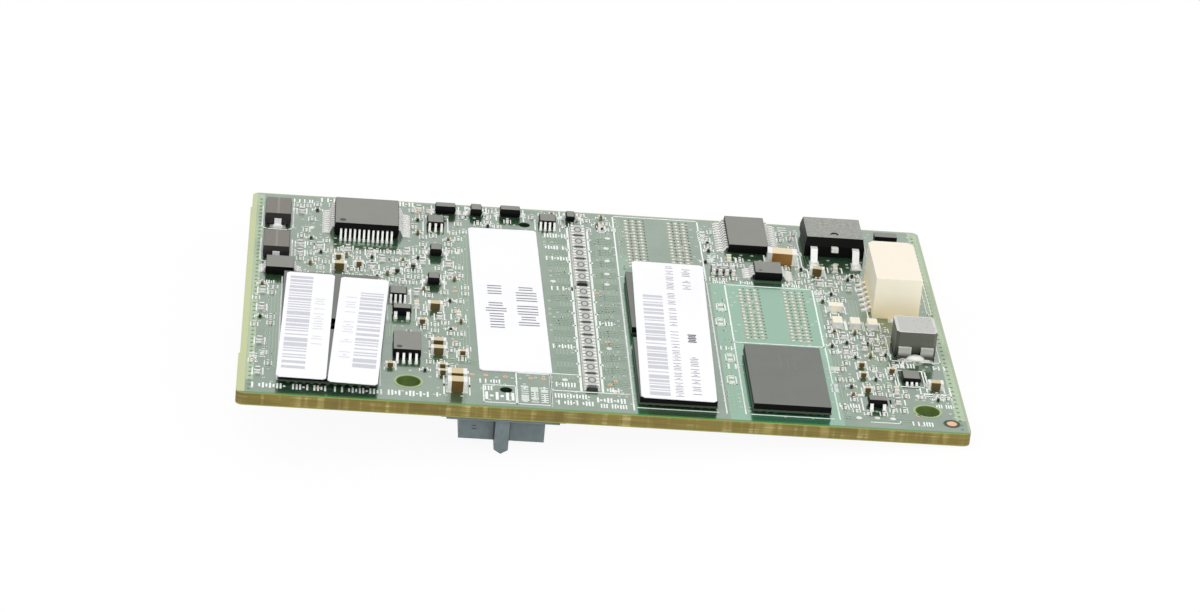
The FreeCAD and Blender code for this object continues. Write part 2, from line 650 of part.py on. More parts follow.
transistor_body = moulded_body("transistor_body", size("transistor_length"),
                               size("transistor_width"), size("transistor_height"), low)
transistor_leads = new_body("transistor_leads")
transistor_side = size("transistor_width") / 2.0
transistor_tip = size("transistor_span") / 2.0
rear_bend = new_sketch(transistor_leads, "rear_lead_bend", role="YZ_Plane")
gull_profile(rear_bend, transistor_side, transistor_tip, size("transistor_height"), low)
pad(transistor_leads, rear_bend, "rear_lead", size("transistor_lead_width"), middle=True)
front_bend = new_sketch(transistor_leads, "front_lead_bend", role="YZ_Plane",
                        height=-size("transistor_pitch") / 2.0)
gull_profile(front_bend, transistor_side, transistor_tip, size("transistor_height"), low,
             side=-1.0)
front_lead = pad(transistor_leads, front_bend, "front_lead", size("transistor_lead_width"),
                 middle=True)
repeat(transistor_leads, front_lead, "front_leads", "X_Axis", size("transistor_pitch"), 2)
scatter("transistor_bodies", [transistor_body], TRANSISTORS)
scatter("transistor_lead_sets", [transistor_leads], TRANSISTORS)

# Small diodes: one wide lead at each end.

diode_body = moulded_body("diode_body", size("diode_width"), size("diode_length"),
                          size("diode_height"), low)
diode_leads = new_body("diode_leads")
diode_bend = new_sketch(diode_leads, "diode_lead_bend", role="XZ_Plane")
gull_profile(diode_bend, size("diode_width") / 2.0, size("diode_span") / 2.0,
             size("diode_height"), low)
diode_lead = pad(diode_leads, diode_bend, "diode_lead", size("transistor_lead_width") * 2.0,
                 middle=True)
doc.recompute()
diode_pair = diode_leads.newObject("PartDesign::PolarPattern", "diode_lead_pair")
diode_pair.Originals = [diode_lead]
diode_pair.Axis = (origin_part(diode_leads, "Z_Axis"), [""])
diode_pair.Angle = 360
diode_pair.Occurrences = 2
diode_leads.Tip = diode_pair
scatter("diode_bodies", [diode_body], DIODES)
scatter("diode_lead_pairs", [diode_leads], DIODES)

# A flat leadless chip at the back edge.

leadless = new_body("leadless_chip")
leadless_outline = new_sketch(leadless, "leadless_outline")
centred(leadless_outline, size("leadless_length"), size("leadless_width"))
pad(leadless, leadless_outline, "leadless_block", size("leadless_height"))
on_board(leadless, LEADLESS_CENTRE)

# ---- power transistor ----
# A thick moulding with a heat tab let into its back, two long leads in front and the stub of
# the cut middle lead between them.

power_half = size("power_depth") / 2.0
power_body = new_body("power_body")
power_section = new_sketch(power_body, "power_section", role="YZ_Plane")
power_shoulder = size("power_height") / 2.0 + size("lead_thickness")
outline(power_section, [
    (-power_half, size("power_standoff")), (-power_half, power_shoulder),
    (size("power_slope") - power_half, size("power_height")),
    (power_half - size("power_slope"), size("power_height")),
    (power_half, power_shoulder), (power_half, size("power_tab_thickness")),
    (power_half - size("power_tab_reach"), size("power_tab_thickness")),
    (power_half - size("power_tab_reach"), size("power_standoff"))])
pad(power_body, power_section, "power_block", size("power_width"), middle=True)
power_side = size("power_width") / 2.0
side_slopes = new_sketch(power_body, "side_slopes", role="XZ_Plane", height=-power_half)
for side in (1.0, -1.0):
    outline(side_slopes, [
        (power_side * side, power_shoulder), (power_side * side, size("power_height")),
        ((power_side - size("power_side_slope")) * side, size("power_height"))])
pocket(power_body, side_slopes, "side_slope_cuts", size("power_depth"), up=True)
dimple = new_sketch(power_body, "dimple_outline", height=size("power_height"))
circle(dimple, 0.0, -size("dimple_shift"), size("power_dimple"))
pocket(power_body, dimple, "dimple", size("dimple_depth"))
on_board(power_body, POWER_CENTRE)

tab_half = size("power_tab_width") / 2.0
power_tab = new_body("power_tab")
tab_outline = new_sketch(power_tab, "tab_outline")
rectangle(tab_outline, -tab_half, tab_half, power_half - size("power_tab_reach"),
          power_half + size("power_tab_reach"))
pad(power_tab, tab_outline, "tab_plate", size("power_tab_thickness"))
on_board(power_tab, POWER_CENTRE)

power_leads = new_body("power_leads")
stub_low = size("power_lead_height") - size("lead_thickness") * 2.0
stub_outline = new_sketch(power_leads, "stub_outline", height=stub_low)
rectangle(stub_outline, -size("power_lead_width") / 2.0, size("power_lead_width") / 2.0,
          -power_half - size("power_stub"), -power_half)
pad(power_leads, stub_outline, "middle_stub", size("lead_thickness") * 3.0)
power_bend = new_sketch(power_leads, "power_lead_bend", role="YZ_Plane",
                        height=-size("power_lead_spread") / 2.0)
gull_profile(power_bend, power_half, power_half + size("power_lead_reach"),
             size("power_height"), size("power_standoff"), side=-1.0)
power_lead = pad(power_leads, power_bend, "outer_lead", size("power_lead_width"), middle=True)
repeat(power_leads, power_lead, "outer_leads", "X_Axis", size("power_lead_spread"), 2)
on_board(power_leads, POWER_CENTRE)

# ---- cable header ----
# A side-entry plastic box, closed on top and in front, open towards the right edge, with six
# square pins inside, their solder tails at its back and a metal hold-down at each end.

header_half = size("header_length") / 2.0
header_deep = size("header_depth") / 2.0
header = new_body("header_housing")
header_outline = new_sketch(header, "header_outline")
outline(header_outline, [
    (-header_deep, -header_half), (header_deep, -header_half),
    (header_deep, header_half - size("header_chamfer")),
    (header_deep - size("header_chamfer"), header_half),
    (size("header_chamfer") - header_deep, header_half),
    (-header_deep, header_half - size("header_chamfer"))])
pad(header, header_outline, "header_block", size("header_height"))
cavity = new_sketch(header, "cavity_outline", role="YZ_Plane", height=header_deep)
rectangle(cavity, size("header_wall") - header_half, header_half - size("header_wall"),
          size("header_wall"), size("header_height") - size("header_wall"))
pocket(header, cavity, "cavity", size("header_depth") - size("header_back"))
on_board(header, HEADER_CENTRE)

HEADER_WAYS = 6
pins = new_body("header_pins")
pin_middle = size("header_height") / 2.0
pin_half = size("pin_width") / 2.0
first_pin = -size("pin_pitch") * (HEADER_WAYS - 1) / 2.0
pin_section = new_sketch(pins, "pin_section", role="YZ_Plane",
                         height=size("header_back") - header_deep)
rectangle(pin_section, first_pin - pin_half, first_pin + pin_half, pin_middle - pin_half,
          pin_middle + pin_half)
pin = pad(pins, pin_section, "pin", size("pin_reach"))
repeat(pins, pin, "pin_row", "Y_Axis", size("pin_pitch") * (HEADER_WAYS - 1), HEADER_WAYS)
on_board(pins, HEADER_CENTRE)

tails = new_body("header_tails")
tail_bend = new_sketch(tails, "tail_bend", role="XZ_Plane", height=-first_pin)
gull_profile(tail_bend, header_deep, header_deep + size("header_tail"), size("header_wall"),
             size("small_standoff"), side=-1.0)
tail = pad(tails, tail_bend, "tail", size("pin_width"), middle=True)
repeat(tails, tail, "tail_row", "Y_Axis", size("pin_pitch") * (HEADER_WAYS - 1), HEADER_WAYS)
on_board(tails, HEADER_CENTRE)

hold_downs = new_body("header_hold_downs")
angle = new_sketch(hold_downs, "hold_down_section", role="YZ_Plane")
thick = size("hold_down_thickness")
outline(angle, [
    (-header_half, 0.0), (-header_half, size("hold_down_height")),
    (-header_half - thick, size("hold_down_height")), (-header_half - thick, thick),
    (-header_half - thick - size("hold_down_foot"), thick),
    (-header_half - thick - size("hold_down_foot"), 0.0)])
hold_down = pad(hold_downs, angle, "hold_down", size("hold_down_width"), middle=True)
doc.recompute()
both_ends = hold_downs.newObject("PartDesign::Mirrored", "both_hold_downs")
both_ends.Originals = [hold_down]
both_ends.MirrorPlane = (origin_part(hold_downs, "XZ_Plane"), [""])
hold_downs.Tip = both_ends
on_board(hold_downs, HEADER_CENTRE)

# ---- power inductor ----
# A moulded block cradled by two metal straps, which leave its front and back half way up,
# bend down and run under it.

inductor = new_body("inductor_core")
core_half = size("inductor_side") / 2.0
core_deep = size("inductor_depth") / 2.0
strap = size("terminal_thickness")
cut = size("inductor_chamfer")
core_outline = new_sketch(inductor, "core_outline", height=strap)
outline(core_outline, [
    (cut - core_half, -core_deep), (core_half - cut, -core_deep),
    (core_half, cut - core_deep), (core_half, core_deep - cut), (core_half - cut, core_deep),
    (cut - core_half, core_deep), (-core_half, core_deep - cut), (-core_half, cut - core_deep)])
pad(inductor, core_outline, "core_block", size("inductor_height") - strap)
on_board(inductor, INDUCTOR_CENTRE)

straps = new_body("inductor_terminals")
strap_section = new_sketch(straps, "strap_section", role="YZ_Plane",
                           height=-size("terminal_spread") / 2.0)
strap_reach = core_deep + size("terminal_reach")
strap_top = size("terminal_height")
outline(strap_section, [
    (-strap_reach, 0.0), (strap_reach, 0.0), (strap_reach, strap_top), (core_deep, strap_top),
    (core_deep, strap_top - strap), (strap_reach - strap, strap_top - strap),
    (strap_reach - strap, strap), (strap - strap_reach, strap),
    (strap - strap_reach, strap_top - strap), (-core_deep, strap_top - strap),
    (-core_deep, strap_top), (-strap_reach, strap_top)])
one_strap = pad(straps, strap_section, "strap", size("terminal_width"), middle=True)
repeat(straps, one_strap, "strap_pair", "X_Axis", size("terminal_spread"), 2)
on_board(straps, INDUCTOR_CENTRE)

# ---- moulded capacitors ----
# Brown mouldings with a metal strip at each end that folds down and in under the part.

end_strip = size("moulded_tab_thickness")
moulded = moulded_body("moulded_master", size("moulded_width"), size("moulded_length"),
                       size("moulded_height"), end_strip)
moulded_half = size("moulded_length") / 2.0
strips = new_body("strip_master")
strip_section = new_sketch(strips, "strip_section", role="YZ_Plane")
strip_top = (size("moulded_height") + end_strip + size("lead_thickness")) / 2.0
outline(strip_section, [
    (-moulded_half - end_strip, 0.0), (-moulded_half - end_strip, strip_top),
    (-moulded_half, strip_top), (-moulded_half, end_strip),
    (size("moulded_tab_height") - moulded_half, end_strip),
    (size("moulded_tab_height") - moulded_half, 0.0)])
strip = pad(strips, strip_section, "strip", size("moulded_tab_width"), middle=True)
doc.recompute()
both_strips = strips.newObject("PartDesign::Mirrored", "both_strips")
both_strips.Originals = [strip]
both_strips.MirrorPlane = (origin_part(strips, "XZ_Plane"), [""])
strips.Tip = both_strips
moulded_step = (size("monitor_span") + size("moulded_length")) / 2.0 + end_strip
moulded_front = (MOULDED_REAR[0],
                 monitor_centre[1] + from_front(moulded_step + size("part_gap")))
moulded_spots = [(MOULDED_REAR, 0), (moulded_front, 0)]
scatter("moulded_capacitors", [moulded], moulded_spots)
scatter("moulded_strips", [strips], moulded_spots)

# ---- resistor arrays ----
# One long row between the plug and the memory, in two runs, and one alone by the regulator.

array_half = size("array_length") / 2.0
array_side = size("array_width") / 2.0
array_inner = array_side - size("array_terminal_width")
array_tall = size("array_height")
array_body = box("array_master", -array_inner, array_inner, -array_half, array_half,
                 array_tall * 0.0, array_tall)
ARRAY_TERMINALS_A_SIDE = 4
array_ends = new_body("array_terminal_master")
array_first = -size("array_terminal_pitch") * (ARRAY_TERMINALS_A_SIDE - 1) / 2.0
terminal_outline = new_sketch(array_ends, "terminal_outline")
rectangle(terminal_outline, array_inner, array_side,
          array_first - size("array_terminal_length") / 2.0,
          array_first + size("array_terminal_length") / 2.0)
terminal = pad(array_ends, terminal_outline, "array_terminal", array_tall)
repeat(array_ends, terminal, "array_terminals", "Y_Axis",
       size("array_terminal_pitch") * (ARRAY_TERMINALS_A_SIDE - 1), ARRAY_TERMINALS_A_SIDE,
       turns=2)
array_spots = [ARRAY_ALONE]
array_pitch = from_front(size("array_length") + size("array_gap"))
for middle, count in ((ARRAY_BACK, 5), (ARRAY_FRONT, 8)):
    for index in range(count):
        array_y = middle + array_pitch * (index - (count - 1) / 2.0)
        array_spots.append(((ARRAY_COLUMN, array_y), 0))
scatter("array_bodies", [array_body], array_spots)
scatter("array_terminal_rows", [array_ends], array_spots)

# ---- small two-ended chips ----

for kind, spots, group in (
        ("chip_1206", CAPACITORS_1206, "large_capacitor"),
        ("chip_0805", CAPACITORS_0805, "medium_capacitors"),
        ("chip_0603", CAPACITORS_0603, "small_capacitors"),
        ("chip_0402", CAPACITORS_0402, "tiny_capacitors"),
        ("resistor", RESISTORS_0402, "resistors"),
        ("bead", BEADS, "beads")):
    middle, ends = two_ended_chip(kind)
    scatter(group, [middle], spots)
    scatter(f"{group}_ends", ends, spots)
    if kind == "chip_0402":
        scatter("under_capacitors", [middle], UNDER_CAPACITORS, under=True)
        scatter("under_capacitors_ends", ends, UNDER_CAPACITORS, under=True)

# ---- checks and export ----

doc.recompute()
for thing in doc.Objects:
    faults = [state for state in thing.State if state in ("Invalid", "Error")]
    if faults:
        raise RuntimeError(f"{thing.Name} does not build: {faults}")
os.makedirs("parts", exist_ok=True)
for thing in kept:
    if thing.Shape.isNull() or not thing.Shape.isValid() or not thing.Shape.Solids:
        raise RuntimeError(f"{thing.Label} has no sound shape")
    thing.Shape.exportStep(f"parts/{thing.Label}.step")
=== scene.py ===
import math
import random

import bmesh
import bpy
from mathutils import Matrix, Vector


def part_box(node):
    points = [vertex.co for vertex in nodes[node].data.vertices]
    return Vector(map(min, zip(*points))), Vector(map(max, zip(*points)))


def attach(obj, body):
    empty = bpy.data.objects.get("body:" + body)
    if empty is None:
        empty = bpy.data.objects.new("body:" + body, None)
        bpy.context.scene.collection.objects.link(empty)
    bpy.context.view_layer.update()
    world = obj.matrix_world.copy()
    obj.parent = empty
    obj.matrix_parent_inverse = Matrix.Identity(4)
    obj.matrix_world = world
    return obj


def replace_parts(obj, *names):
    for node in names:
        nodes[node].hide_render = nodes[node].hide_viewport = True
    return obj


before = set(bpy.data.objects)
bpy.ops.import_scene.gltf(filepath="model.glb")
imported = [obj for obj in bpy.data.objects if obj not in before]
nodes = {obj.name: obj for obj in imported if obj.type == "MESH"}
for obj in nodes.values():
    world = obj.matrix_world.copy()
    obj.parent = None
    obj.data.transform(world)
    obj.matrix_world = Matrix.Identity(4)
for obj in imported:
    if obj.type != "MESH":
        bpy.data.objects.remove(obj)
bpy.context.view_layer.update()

# ---- table, light and camera ----
# The card lies on a pale table. It leans on the two guide posts of its plug and on the lower
# right edge of the board, so the table top is tipped against the card's own frame.

MM = 0.001
post_low, post_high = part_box("plug_housing")
board_low, board_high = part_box("circuit_board")
post_x = (post_low[0] + post_high[0]) / 2
lean = math.atan2(board_low[2] - post_low[2], board_high[0] - post_x)


class Socket:
    """One output of a material's node, used in sums as if it were a number."""

    def __init__(self, paint, link):
        self.paint = paint
        self.link = link

    def maths(self, operation, first, second=0.0):
        return self.paint.node("ShaderNodeMath", {"operation": operation}, {0: first, 1: second})

    def __add__(self, other):
        return self.maths("ADD", self, other)

    def __radd__(self, other):
        return self.maths("ADD", other, self)

    def __sub__(self, other):
        return self.maths("SUBTRACT", self, other)

    def __rsub__(self, other):
        return self.maths("SUBTRACT", other, self)

    def __mul__(self, other):
        return self.maths("MULTIPLY", self, other)

    def __rmul__(self, other):
        return self.maths("MULTIPLY", other, self)

    def __truediv__(self, other):
        return self.maths("DIVIDE", self, other)

    def __gt__(self, other):
        return self.maths("GREATER_THAN", self, other)

    def __lt__(self, other):
        return self.maths("LESS_THAN", self, other)

    def highest(self, other):
        return self.maths("MAXIMUM", self, other)

    def size(self):
        return self.maths("ABSOLUTE", self)

    def ramp(self, low, high):
        """0 below low, 1 above high, and a straight slope between."""
        return self.paint.node("ShaderNodeMapRange", {"clamp": True},
                               {"Value": self, "From Min": low, "From Max": high})


class Paint:
    """A material made of nodes, all added by one method."""

    def __init__(self, name, shader="ShaderNodeBsdfPrincipled", target=None):
        if target is None:
            self.material = bpy.data.materials.new(name)
            self.material.use_nodes = True
            target = self.material.node_tree
        self.tree = target
        self.tree.nodes.clear()
        self.surface = self.tree.nodes.new(shader)

    def node(self, kind, settings=None, inputs=None, output=0):
        made = self.tree.nodes.new(kind)
        for key, value in (settings or {}).items():
            setattr(made, key, value)
        for key, value in (inputs or {}).items():
            self.feed(made.inputs[key], value)
        return Socket(self, made.outputs[output])

    def feed(self, socket, value):
        if isinstance(value, Socket):
            self.tree.links.new(value.link, socket)
        elif isinstance(value, tuple) and len(value) == 3 and socket.type == "RGBA":
            socket.default_value = (*value, 1)
        else:
            socket.default_value = value

    def place(self):
        """The point of the surface in the card's own frame, in metres."""
        return self.node("ShaderNodeTexCoord", output="Object")

    def axes(self, vector):
        split = self.node("ShaderNodeSeparateXYZ", inputs={0: vector})
        outputs = split.link.node.outputs
        return [Socket(self, outputs[number]) for number in range(3)]

    def millimetres(self):
        """The point of the surface as three numbers, in millimetres."""
        return [axis / MM for axis in self.axes(self.place())]

    def facing(self):
        """The direction the surface faces, as three numbers."""
        return self.axes(self.node("ShaderNodeNewGeometry", output="Normal"))

    def noise(self, scale, detail=2.0, vector=None):
        return self.node("ShaderNodeTexNoise", None, {
            "Vector": vector or self.place(), "Scale": scale, "Detail": detail})

    def mix(self, share, first, second):
        return self.node("ShaderNodeMix", {"data_type": "RGBA", "clamp_factor": True},
                         {0: share, 6: first, 7: second}, output=2)

    def bump(self, height, depth, strength):
        return self.node("ShaderNodeBump", None,
                         {"Height": height, "Distance": depth, "Strength": strength})

    def done(self, output="ShaderNodeOutputMaterial", **inputs):
        for key, value in inputs.items():
            self.feed(self.surface.inputs[key.replace("_", " ")], value)
        end = self.tree.nodes.new(output)
        self.tree.links.new(self.surface.outputs[0], end.inputs[0])
        return self.material if output == "ShaderNodeOutputMaterial" else None


def tone(red, green, blue):
    """A colour given in screen values of 0 to 255."""
    return tuple(((value / 255 + 0.055) / 1.055) ** 2.4 if value > 10 else value / 3295
                 for value in (red, green, blue))


def seen_rays(paint):
    """1 for rays from the camera and for those that glossy or clear surfaces send on."""
    kinds = paint.node("ShaderNodeLightPath").link.node.outputs
    seen = Socket(paint, kinds["Is Camera Ray"])
    for kind in ("Is Glossy Ray", "Is Transmission Ray"):
        seen = seen.highest(Socket(paint, kinds[kind]))
    return seen


table_paint = Paint("pale_table", "ShaderNodeMixShader")
table_shade = table_paint.noise(9.0, 3.0)
table_lit = table_paint.node("ShaderNodeBsdfDiffuse", None, {
    "Color": table_paint.mix(table_shade, (0.93, 0.93, 0.93), (0.96, 0.96, 0.96))})
table_white = table_paint.node("ShaderNodeEmission", None, {"Color": (1.0, 1.0, 1.0)})
for number, share in enumerate((seen_rays(table_paint) * 0.93, table_lit, table_white)):
    table_paint.feed(table_paint.surface.inputs[number], share)
table_top = table_paint.done()
table_reach = 2.4
table_gap = 0.00002
table_mesh = bpy.data.meshes.new("table_top")
table_mesh.from_pydata([(side * table_reach, end * table_reach, 0)
                        for side, end in ((-1, -1), (1, -1), (1, 1), (-1, 1))],
                       [], [(0, 1, 2, 3)])
table_mesh.materials.append(table_top)
table = bpy.data.objects.new("table_top", table_mesh)
bpy.context.collection.objects.link(table)
table.matrix_world = (Matrix.Translation((post_x, 0, post_low[2] - table_gap))
                      @ Matrix.Rotation(-lean, 4, "Y"))

world = bpy.data.worlds.new("soft_room")
bpy.context.scene.world = world
world.use_nodes = True
room = Paint("soft_room", "ShaderNodeBackground", world.node_tree)
room.done("ShaderNodeOutputWorld", Color=(1.0, 1.0, 1.0),
          Strength=seen_rays(room) * 0.48 + 0.52)

for lamp_name, lamp_place, lamp_side, lamp_power in (
        ("lamp_above_left", (-0.5, 0.25, 0.9), 1.3, 6.0),
        ("lamp_in_front", (0.35, -0.8, 0.55), 1.3, 7.4)):
    lamp_data = bpy.data.lights.new(lamp_name, "AREA")
    lamp_data.shape = "SQUARE"
    lamp_data.size = lamp_side
    lamp_data.energy = lamp_power
    lamp = bpy.data.objects.new(lamp_name, lamp_data)
    bpy.context.collection.objects.link(lamp)
    lamp.location = lamp_place
    lamp.rotation_euler = (-Vector(lamp_place)).to_track_quat("-Z", "Y").to_euler()
    lamp.visible_glossy = False

view_place = (-0.0340694, -0.4066165, 0.194692)
view_right = Vector((0.99525, -0.04426, 0.08661))
view_down = Vector((0.05972, -0.42478, -0.90331))
view_ahead = Vector((0.07677, 0.90421, -0.42013))
camera_data = bpy.data.cameras.new("camera")
camera_data.sensor_width = 36.0
camera_data.lens = 127.5
camera_data.clip_start = 0.01
camera_data.clip_end = 20.0
camera = bpy.data.objects.new("camera", camera_data)
bpy.context.collection.objects.link(camera)
camera.matrix_world = Matrix.Translation(view_place) @ Matrix((
    view_right, -view_down, -view_ahead)).transposed().to_4x4()
bpy.context.scene.camera = camera
bpy.context.scene.view_settings.view_transform = "Standard"

# ---- circuit board ----
# A plate of glass laminate with a glossy green mask over its copper. The mask stops short of
# the routed edges, where the bare yellowish laminate and its layers show.

RAIL_STUB = 0.3
LEFT = board_low[0] / MM + RAIL_STUB
FRONT = board_low[1] / MM
RIGHT = board_high[0] / MM
BACK = board_high[1] / MM
TOP = board_high[2] / MM
UNDER = board_low[2] / MM
MASK_GAP_LEFT, MASK_GAP_RIGHT, MASK_GAP_BACK, MASK_GAP_FRONT = 0.62, 0.3, 0.28, 0.34
board_paint = Paint("green_mask")
spot = board_paint.place()
spot_x, spot_y, spot_z = board_paint.millimetres()
copper_plane = board_paint.noise(160.0, 3.0)
fine_cloud = board_paint.noise(900.0, 2.0)
mask_colour = board_paint.mix(copper_plane.ramp(0.4, 0.6), tone(60, 104, 72), tone(80, 118, 86))
mask_colour = board_paint.mix(fine_cloud.ramp(0.35, 0.7) * 0.35, mask_colour, tone(104, 128, 98))
for zone_left, zone_right, zone_back, strength in (
        (49.6, 61.2, 33.2, 0.85), (39.9, 41.2, 39.0, 0.55)):
    green_zone = ((spot_x > LEFT + zone_left) * (spot_x < LEFT + zone_right)
                  * (spot_y < FRONT + zone_back) * (spot_z > TOP - 0.1))
    mask_colour = board_paint.mix(green_zone * strength, mask_colour, tone(84, 162, 122))
left_strip = (LEFT + MASK_GAP_LEFT - spot_x).ramp(0.0, 0.12)
far_strip = (spot_x - (RIGHT - MASK_GAP_RIGHT)).highest(
    spot_y - (BACK - MASK_GAP_BACK)).ramp(0.0, 0.1)
front_strip = (FRONT + MASK_GAP_FRONT - spot_y).ramp(0.0, 0.06)
mask_colour = board_paint.mix(left_strip, mask_colour, tone(174, 186, 104))
mask_colour = board_paint.mix(far_strip, mask_colour, tone(132, 156, 92))
mask_colour = board_paint.mix(front_strip, mask_colour, tone(72, 130, 60))


def drawn_out(*scales):
    """The place with its axes scaled, so that a noise runs in threads or in layers."""
    return board_paint.node("ShaderNodeVectorMath", {"operation": "MULTIPLY"},
                            {0: spot, 1: scales})


edge_height = (spot_z - UNDER) / (TOP - UNDER)
fibres = board_paint.noise(1500.0, 2.0, drawn_out(1.0, 1.0, 0.06))
layers = board_paint.noise(2400.0, 2.0, drawn_out(0.08, 0.08, 2.2))
patches = board_paint.noise(340.0, 4.0)
edge_colour = board_paint.mix(layers.ramp(0.3, 0.7), tone(112, 98, 38), tone(132, 118, 52))
edge_colour = board_paint.mix(fibres.ramp(0.52, 0.7) * 0.42, edge_colour, tone(178, 164, 96))
edge_colour = board_paint.mix(fibres.ramp(0.5, 0.62) * layers.ramp(0.55, 0.66) * 0.6, edge_colour,
                              tone(204, 194, 146))
edge_colour = board_paint.mix(patches.ramp(0.45, 0.7) * 0.5, edge_colour, tone(92, 76, 26))
rims_of_edge = (edge_height - 0.5).size().ramp(0.4, 0.46)
edge_colour = board_paint.mix(rims_of_edge * 0.8, edge_colour, tone(150, 156, 80))
on_edge = 1.0 - board_paint.facing()[2].size().ramp(0.3, 0.6)
board_finish = board_paint.done(
    Base_Color=board_paint.mix(on_edge, mask_colour, edge_colour),
    Metallic=(1.0 - on_edge) * (1.0 - front_strip) * 0.6,
    Roughness=on_edge * 0.36 + 0.24,
    Normal=board_paint.bump(fine_cloud + fibres * on_edge, 0.00001, 0.5),
    Coat_Weight=(1.0 - on_edge) * (1.0 - front_strip * 0.9), Coat_IOR=2.4, Coat_Roughness=0.12)


def round_off(thing, width, sharp_angle=30):
    """Bevel the edges that turn by more than an angle in degrees."""
    bevel = thing.modifiers.new("edge", "BEVEL")
    bevel.width = width * MM
    bevel.segments = 2
    bevel.limit_method = "ANGLE"
    bevel.angle_limit = math.radians(sharp_angle)


def dress(node, material, round_edge=None):
    """Give a solid of the card its finish, and round its edges a little."""
    thing = nodes[node]
    for number in range(len(thing.material_slots)):
        thing.material_slots[number].material = material
    if round_edge:
        round_off(thing, round_edge, 35)


dress("circuit_board", board_finish)


class Shapes:
    """Many small shapes gathered into one mesh, in millimetres from the board's front left."""

    CORNERS = ((-1, -1), (1, -1), (1, 1), (-1, 1))

    def __init__(self, level=None):
        self.points = []
        self.faces = []
        self.level = TOP if level is None else level

    def add(self, x, y, height):
        self.points.append((LEFT + x, FRONT + y, self.level + height))

    def loop(self, x, y, reach_x, reach_y, height, sides):
        """Points around an oval, all at one height."""
        for step in range(sides):
            angle = step * math.tau / sides
            self.add(x + math.cos(angle) * reach_x, y + math.sin(angle) * reach_y, height)

    def cap(self, first, count, turned=False):
        """One face over a loop of points."""
        loop = list(range(first, first + count))
        self.faces.append(loop[::-1] if turned else loop)

    def join(self, first, loops, count, closed=False):
        """Faces between loops of points that follow one another."""
        for band in range(loops if closed else loops - 1):
            below, above = first + band * count, first + (band + 1) % loops * count
            for step in range(count):
                after = (step + 1) % count
                self.faces.append([below + step, below + after, above + after, above + step])

    def slab(self, outline, low, high):
        """An upright block over an outline of (x, y) corners."""
        first, count = len(self.points), len(outline)
        for height in (low, high):
            for x, y in outline:
                self.add(x, y, height)
        self.cap(first, count, turned=True)
        self.cap(first + count, count)
        self.join(first, 2, count)

    def block(self, x, y, width, length, low, high, turn=0.0):
        angle = math.radians(turn)
        corners = []
        for side, end in self.CORNERS:
            across, along = side * width / 2, end * length / 2
            corners.append((x + across * math.cos(angle) - along * math.sin(angle),
                            y + across * math.sin(angle) + along * math.cos(angle)))
        self.slab(corners, low, high)

    def disc(self, x, y, diameter, low, high, sides=16):
        self.slab([(x + math.cos(step * math.tau / sides) * diameter / 2,
                    y + math.sin(step * math.tau / sides) * diameter / 2)
                   for step in range(sides)], low, high)

    def ring(self, x, y, outer, inner, low, high, sides=24, stretch=(1.0, 1.0)):
        """A flat washer, round or stretched to an oval."""
        first = len(self.points)
        for diameter, height in ((outer, low), (outer, high), (inner, high), (inner, low)):
            self.loop(x, y, diameter / 2 * stretch[0], diameter / 2 * stretch[1], height, sides)
        self.join(first, 4, sides, closed=True)

    def line(self, points, width, low, high):
        """A strip of constant width along a path."""
        for (x0, y0), (x1, y1) in zip(points, points[1:]):
            run = math.hypot(x1 - x0, y1 - y0)
            turn = math.degrees(math.atan2(y1 - y0, x1 - x0)) - 90
            self.block((x0 + x1) / 2, (y0 + y1) / 2, width, run + width, low, high, turn)

    def frame(self, x0, y0, x1, y1, width, low, high):
        self.line([(x0, y0), (x1, y0), (x1, y1), (x0, y1), (x0, y0)], width, low, high)

    def dome(self, x, y, width, length, low, high, sides=10, rings=3):
        """A low rounded blob, such as solder."""
        first = len(self.points)
        for ring in range(rings):
            rise = math.sin(ring / rings * math.pi / 2)
            shrink = math.cos(ring / rings * math.pi / 2)
            self.loop(x, y, width / 2 * shrink, length / 2 * shrink,
                      low + (high - low) * rise, sides)
        self.add(x, y, high)
        self.cap(first, sides, turned=True)
        self.join(first, rings, sides)
        last = first + (rings - 1) * sides
        for step in range(sides):
            self.faces.append([last + step, last + (step + 1) % sides, first + rings * sides])

    def barrel(self, x, y, profile, sides=8):
        """A ball pressed between two pads, as rings of (height, girth)."""
        first = len(self.points)
        for height, girth in profile:
            self.loop(x, y, girth, girth, height, sides)
        self.join(first, len(profile), sides)

    def moulding(self, x, y, width, length, low, high, draft=0.12):
        """A small moulded body, widest at the parting line half way up."""
        first = len(self.points)
        middle = (low + high) / 2
        for height, inset in ((low, draft), (middle - 0.05, 0.0), (middle + 0.05, 0.0),
                              (high, draft)):
            for side, end in self.CORNERS:
                self.add(x + side * (width / 2 - inset), y + end * (length / 2 - inset), height)
        self.join(first, 4, 4)
        self.cap(first, 4, turned=True)
        self.cap(first + 12, 4)

    def bent(self, x, y, turn, width, outline):
        """A strip bent to an outline of (distance, height), which leaves a point along turn."""
        first, count = len(self.points), len(outline)
        away, aside = math.cos(math.radians(turn)), math.sin(math.radians(turn))
        for side in (-width / 2, width / 2):
            for far, height in outline:
                self.add(x + far * away - side * aside, y + far * aside + side * away, height)
        self.cap(first, count)
        self.cap(first + count, count, turned=True)
        self.join(first, 2, count)

    def piece(self, name, material, smooth=False, round_edge=None):
        """The finished mesh, as a piece that rides on the card."""
        mesh = bpy.data.meshes.new(name)
        mesh.from_pydata([Vector(point) * MM for point in self.points], [], self.faces)
        shape = bmesh.new()
        shape.from_mesh(mesh)
        bmesh.ops.recalc_face_normals(shape, faces=shape.faces)
        shape.to_mesh(mesh)
        shape.free()
        mesh.materials.append(material)
        for face in mesh.polygons:
            face.use_smooth = smooth
        thing = bpy.data.objects.new(name, mesh)
        bpy.context.collection.objects.link(thing)
        if round_edge:
            round_off(thing, round_edge)
        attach(thing, "root")
        return thing


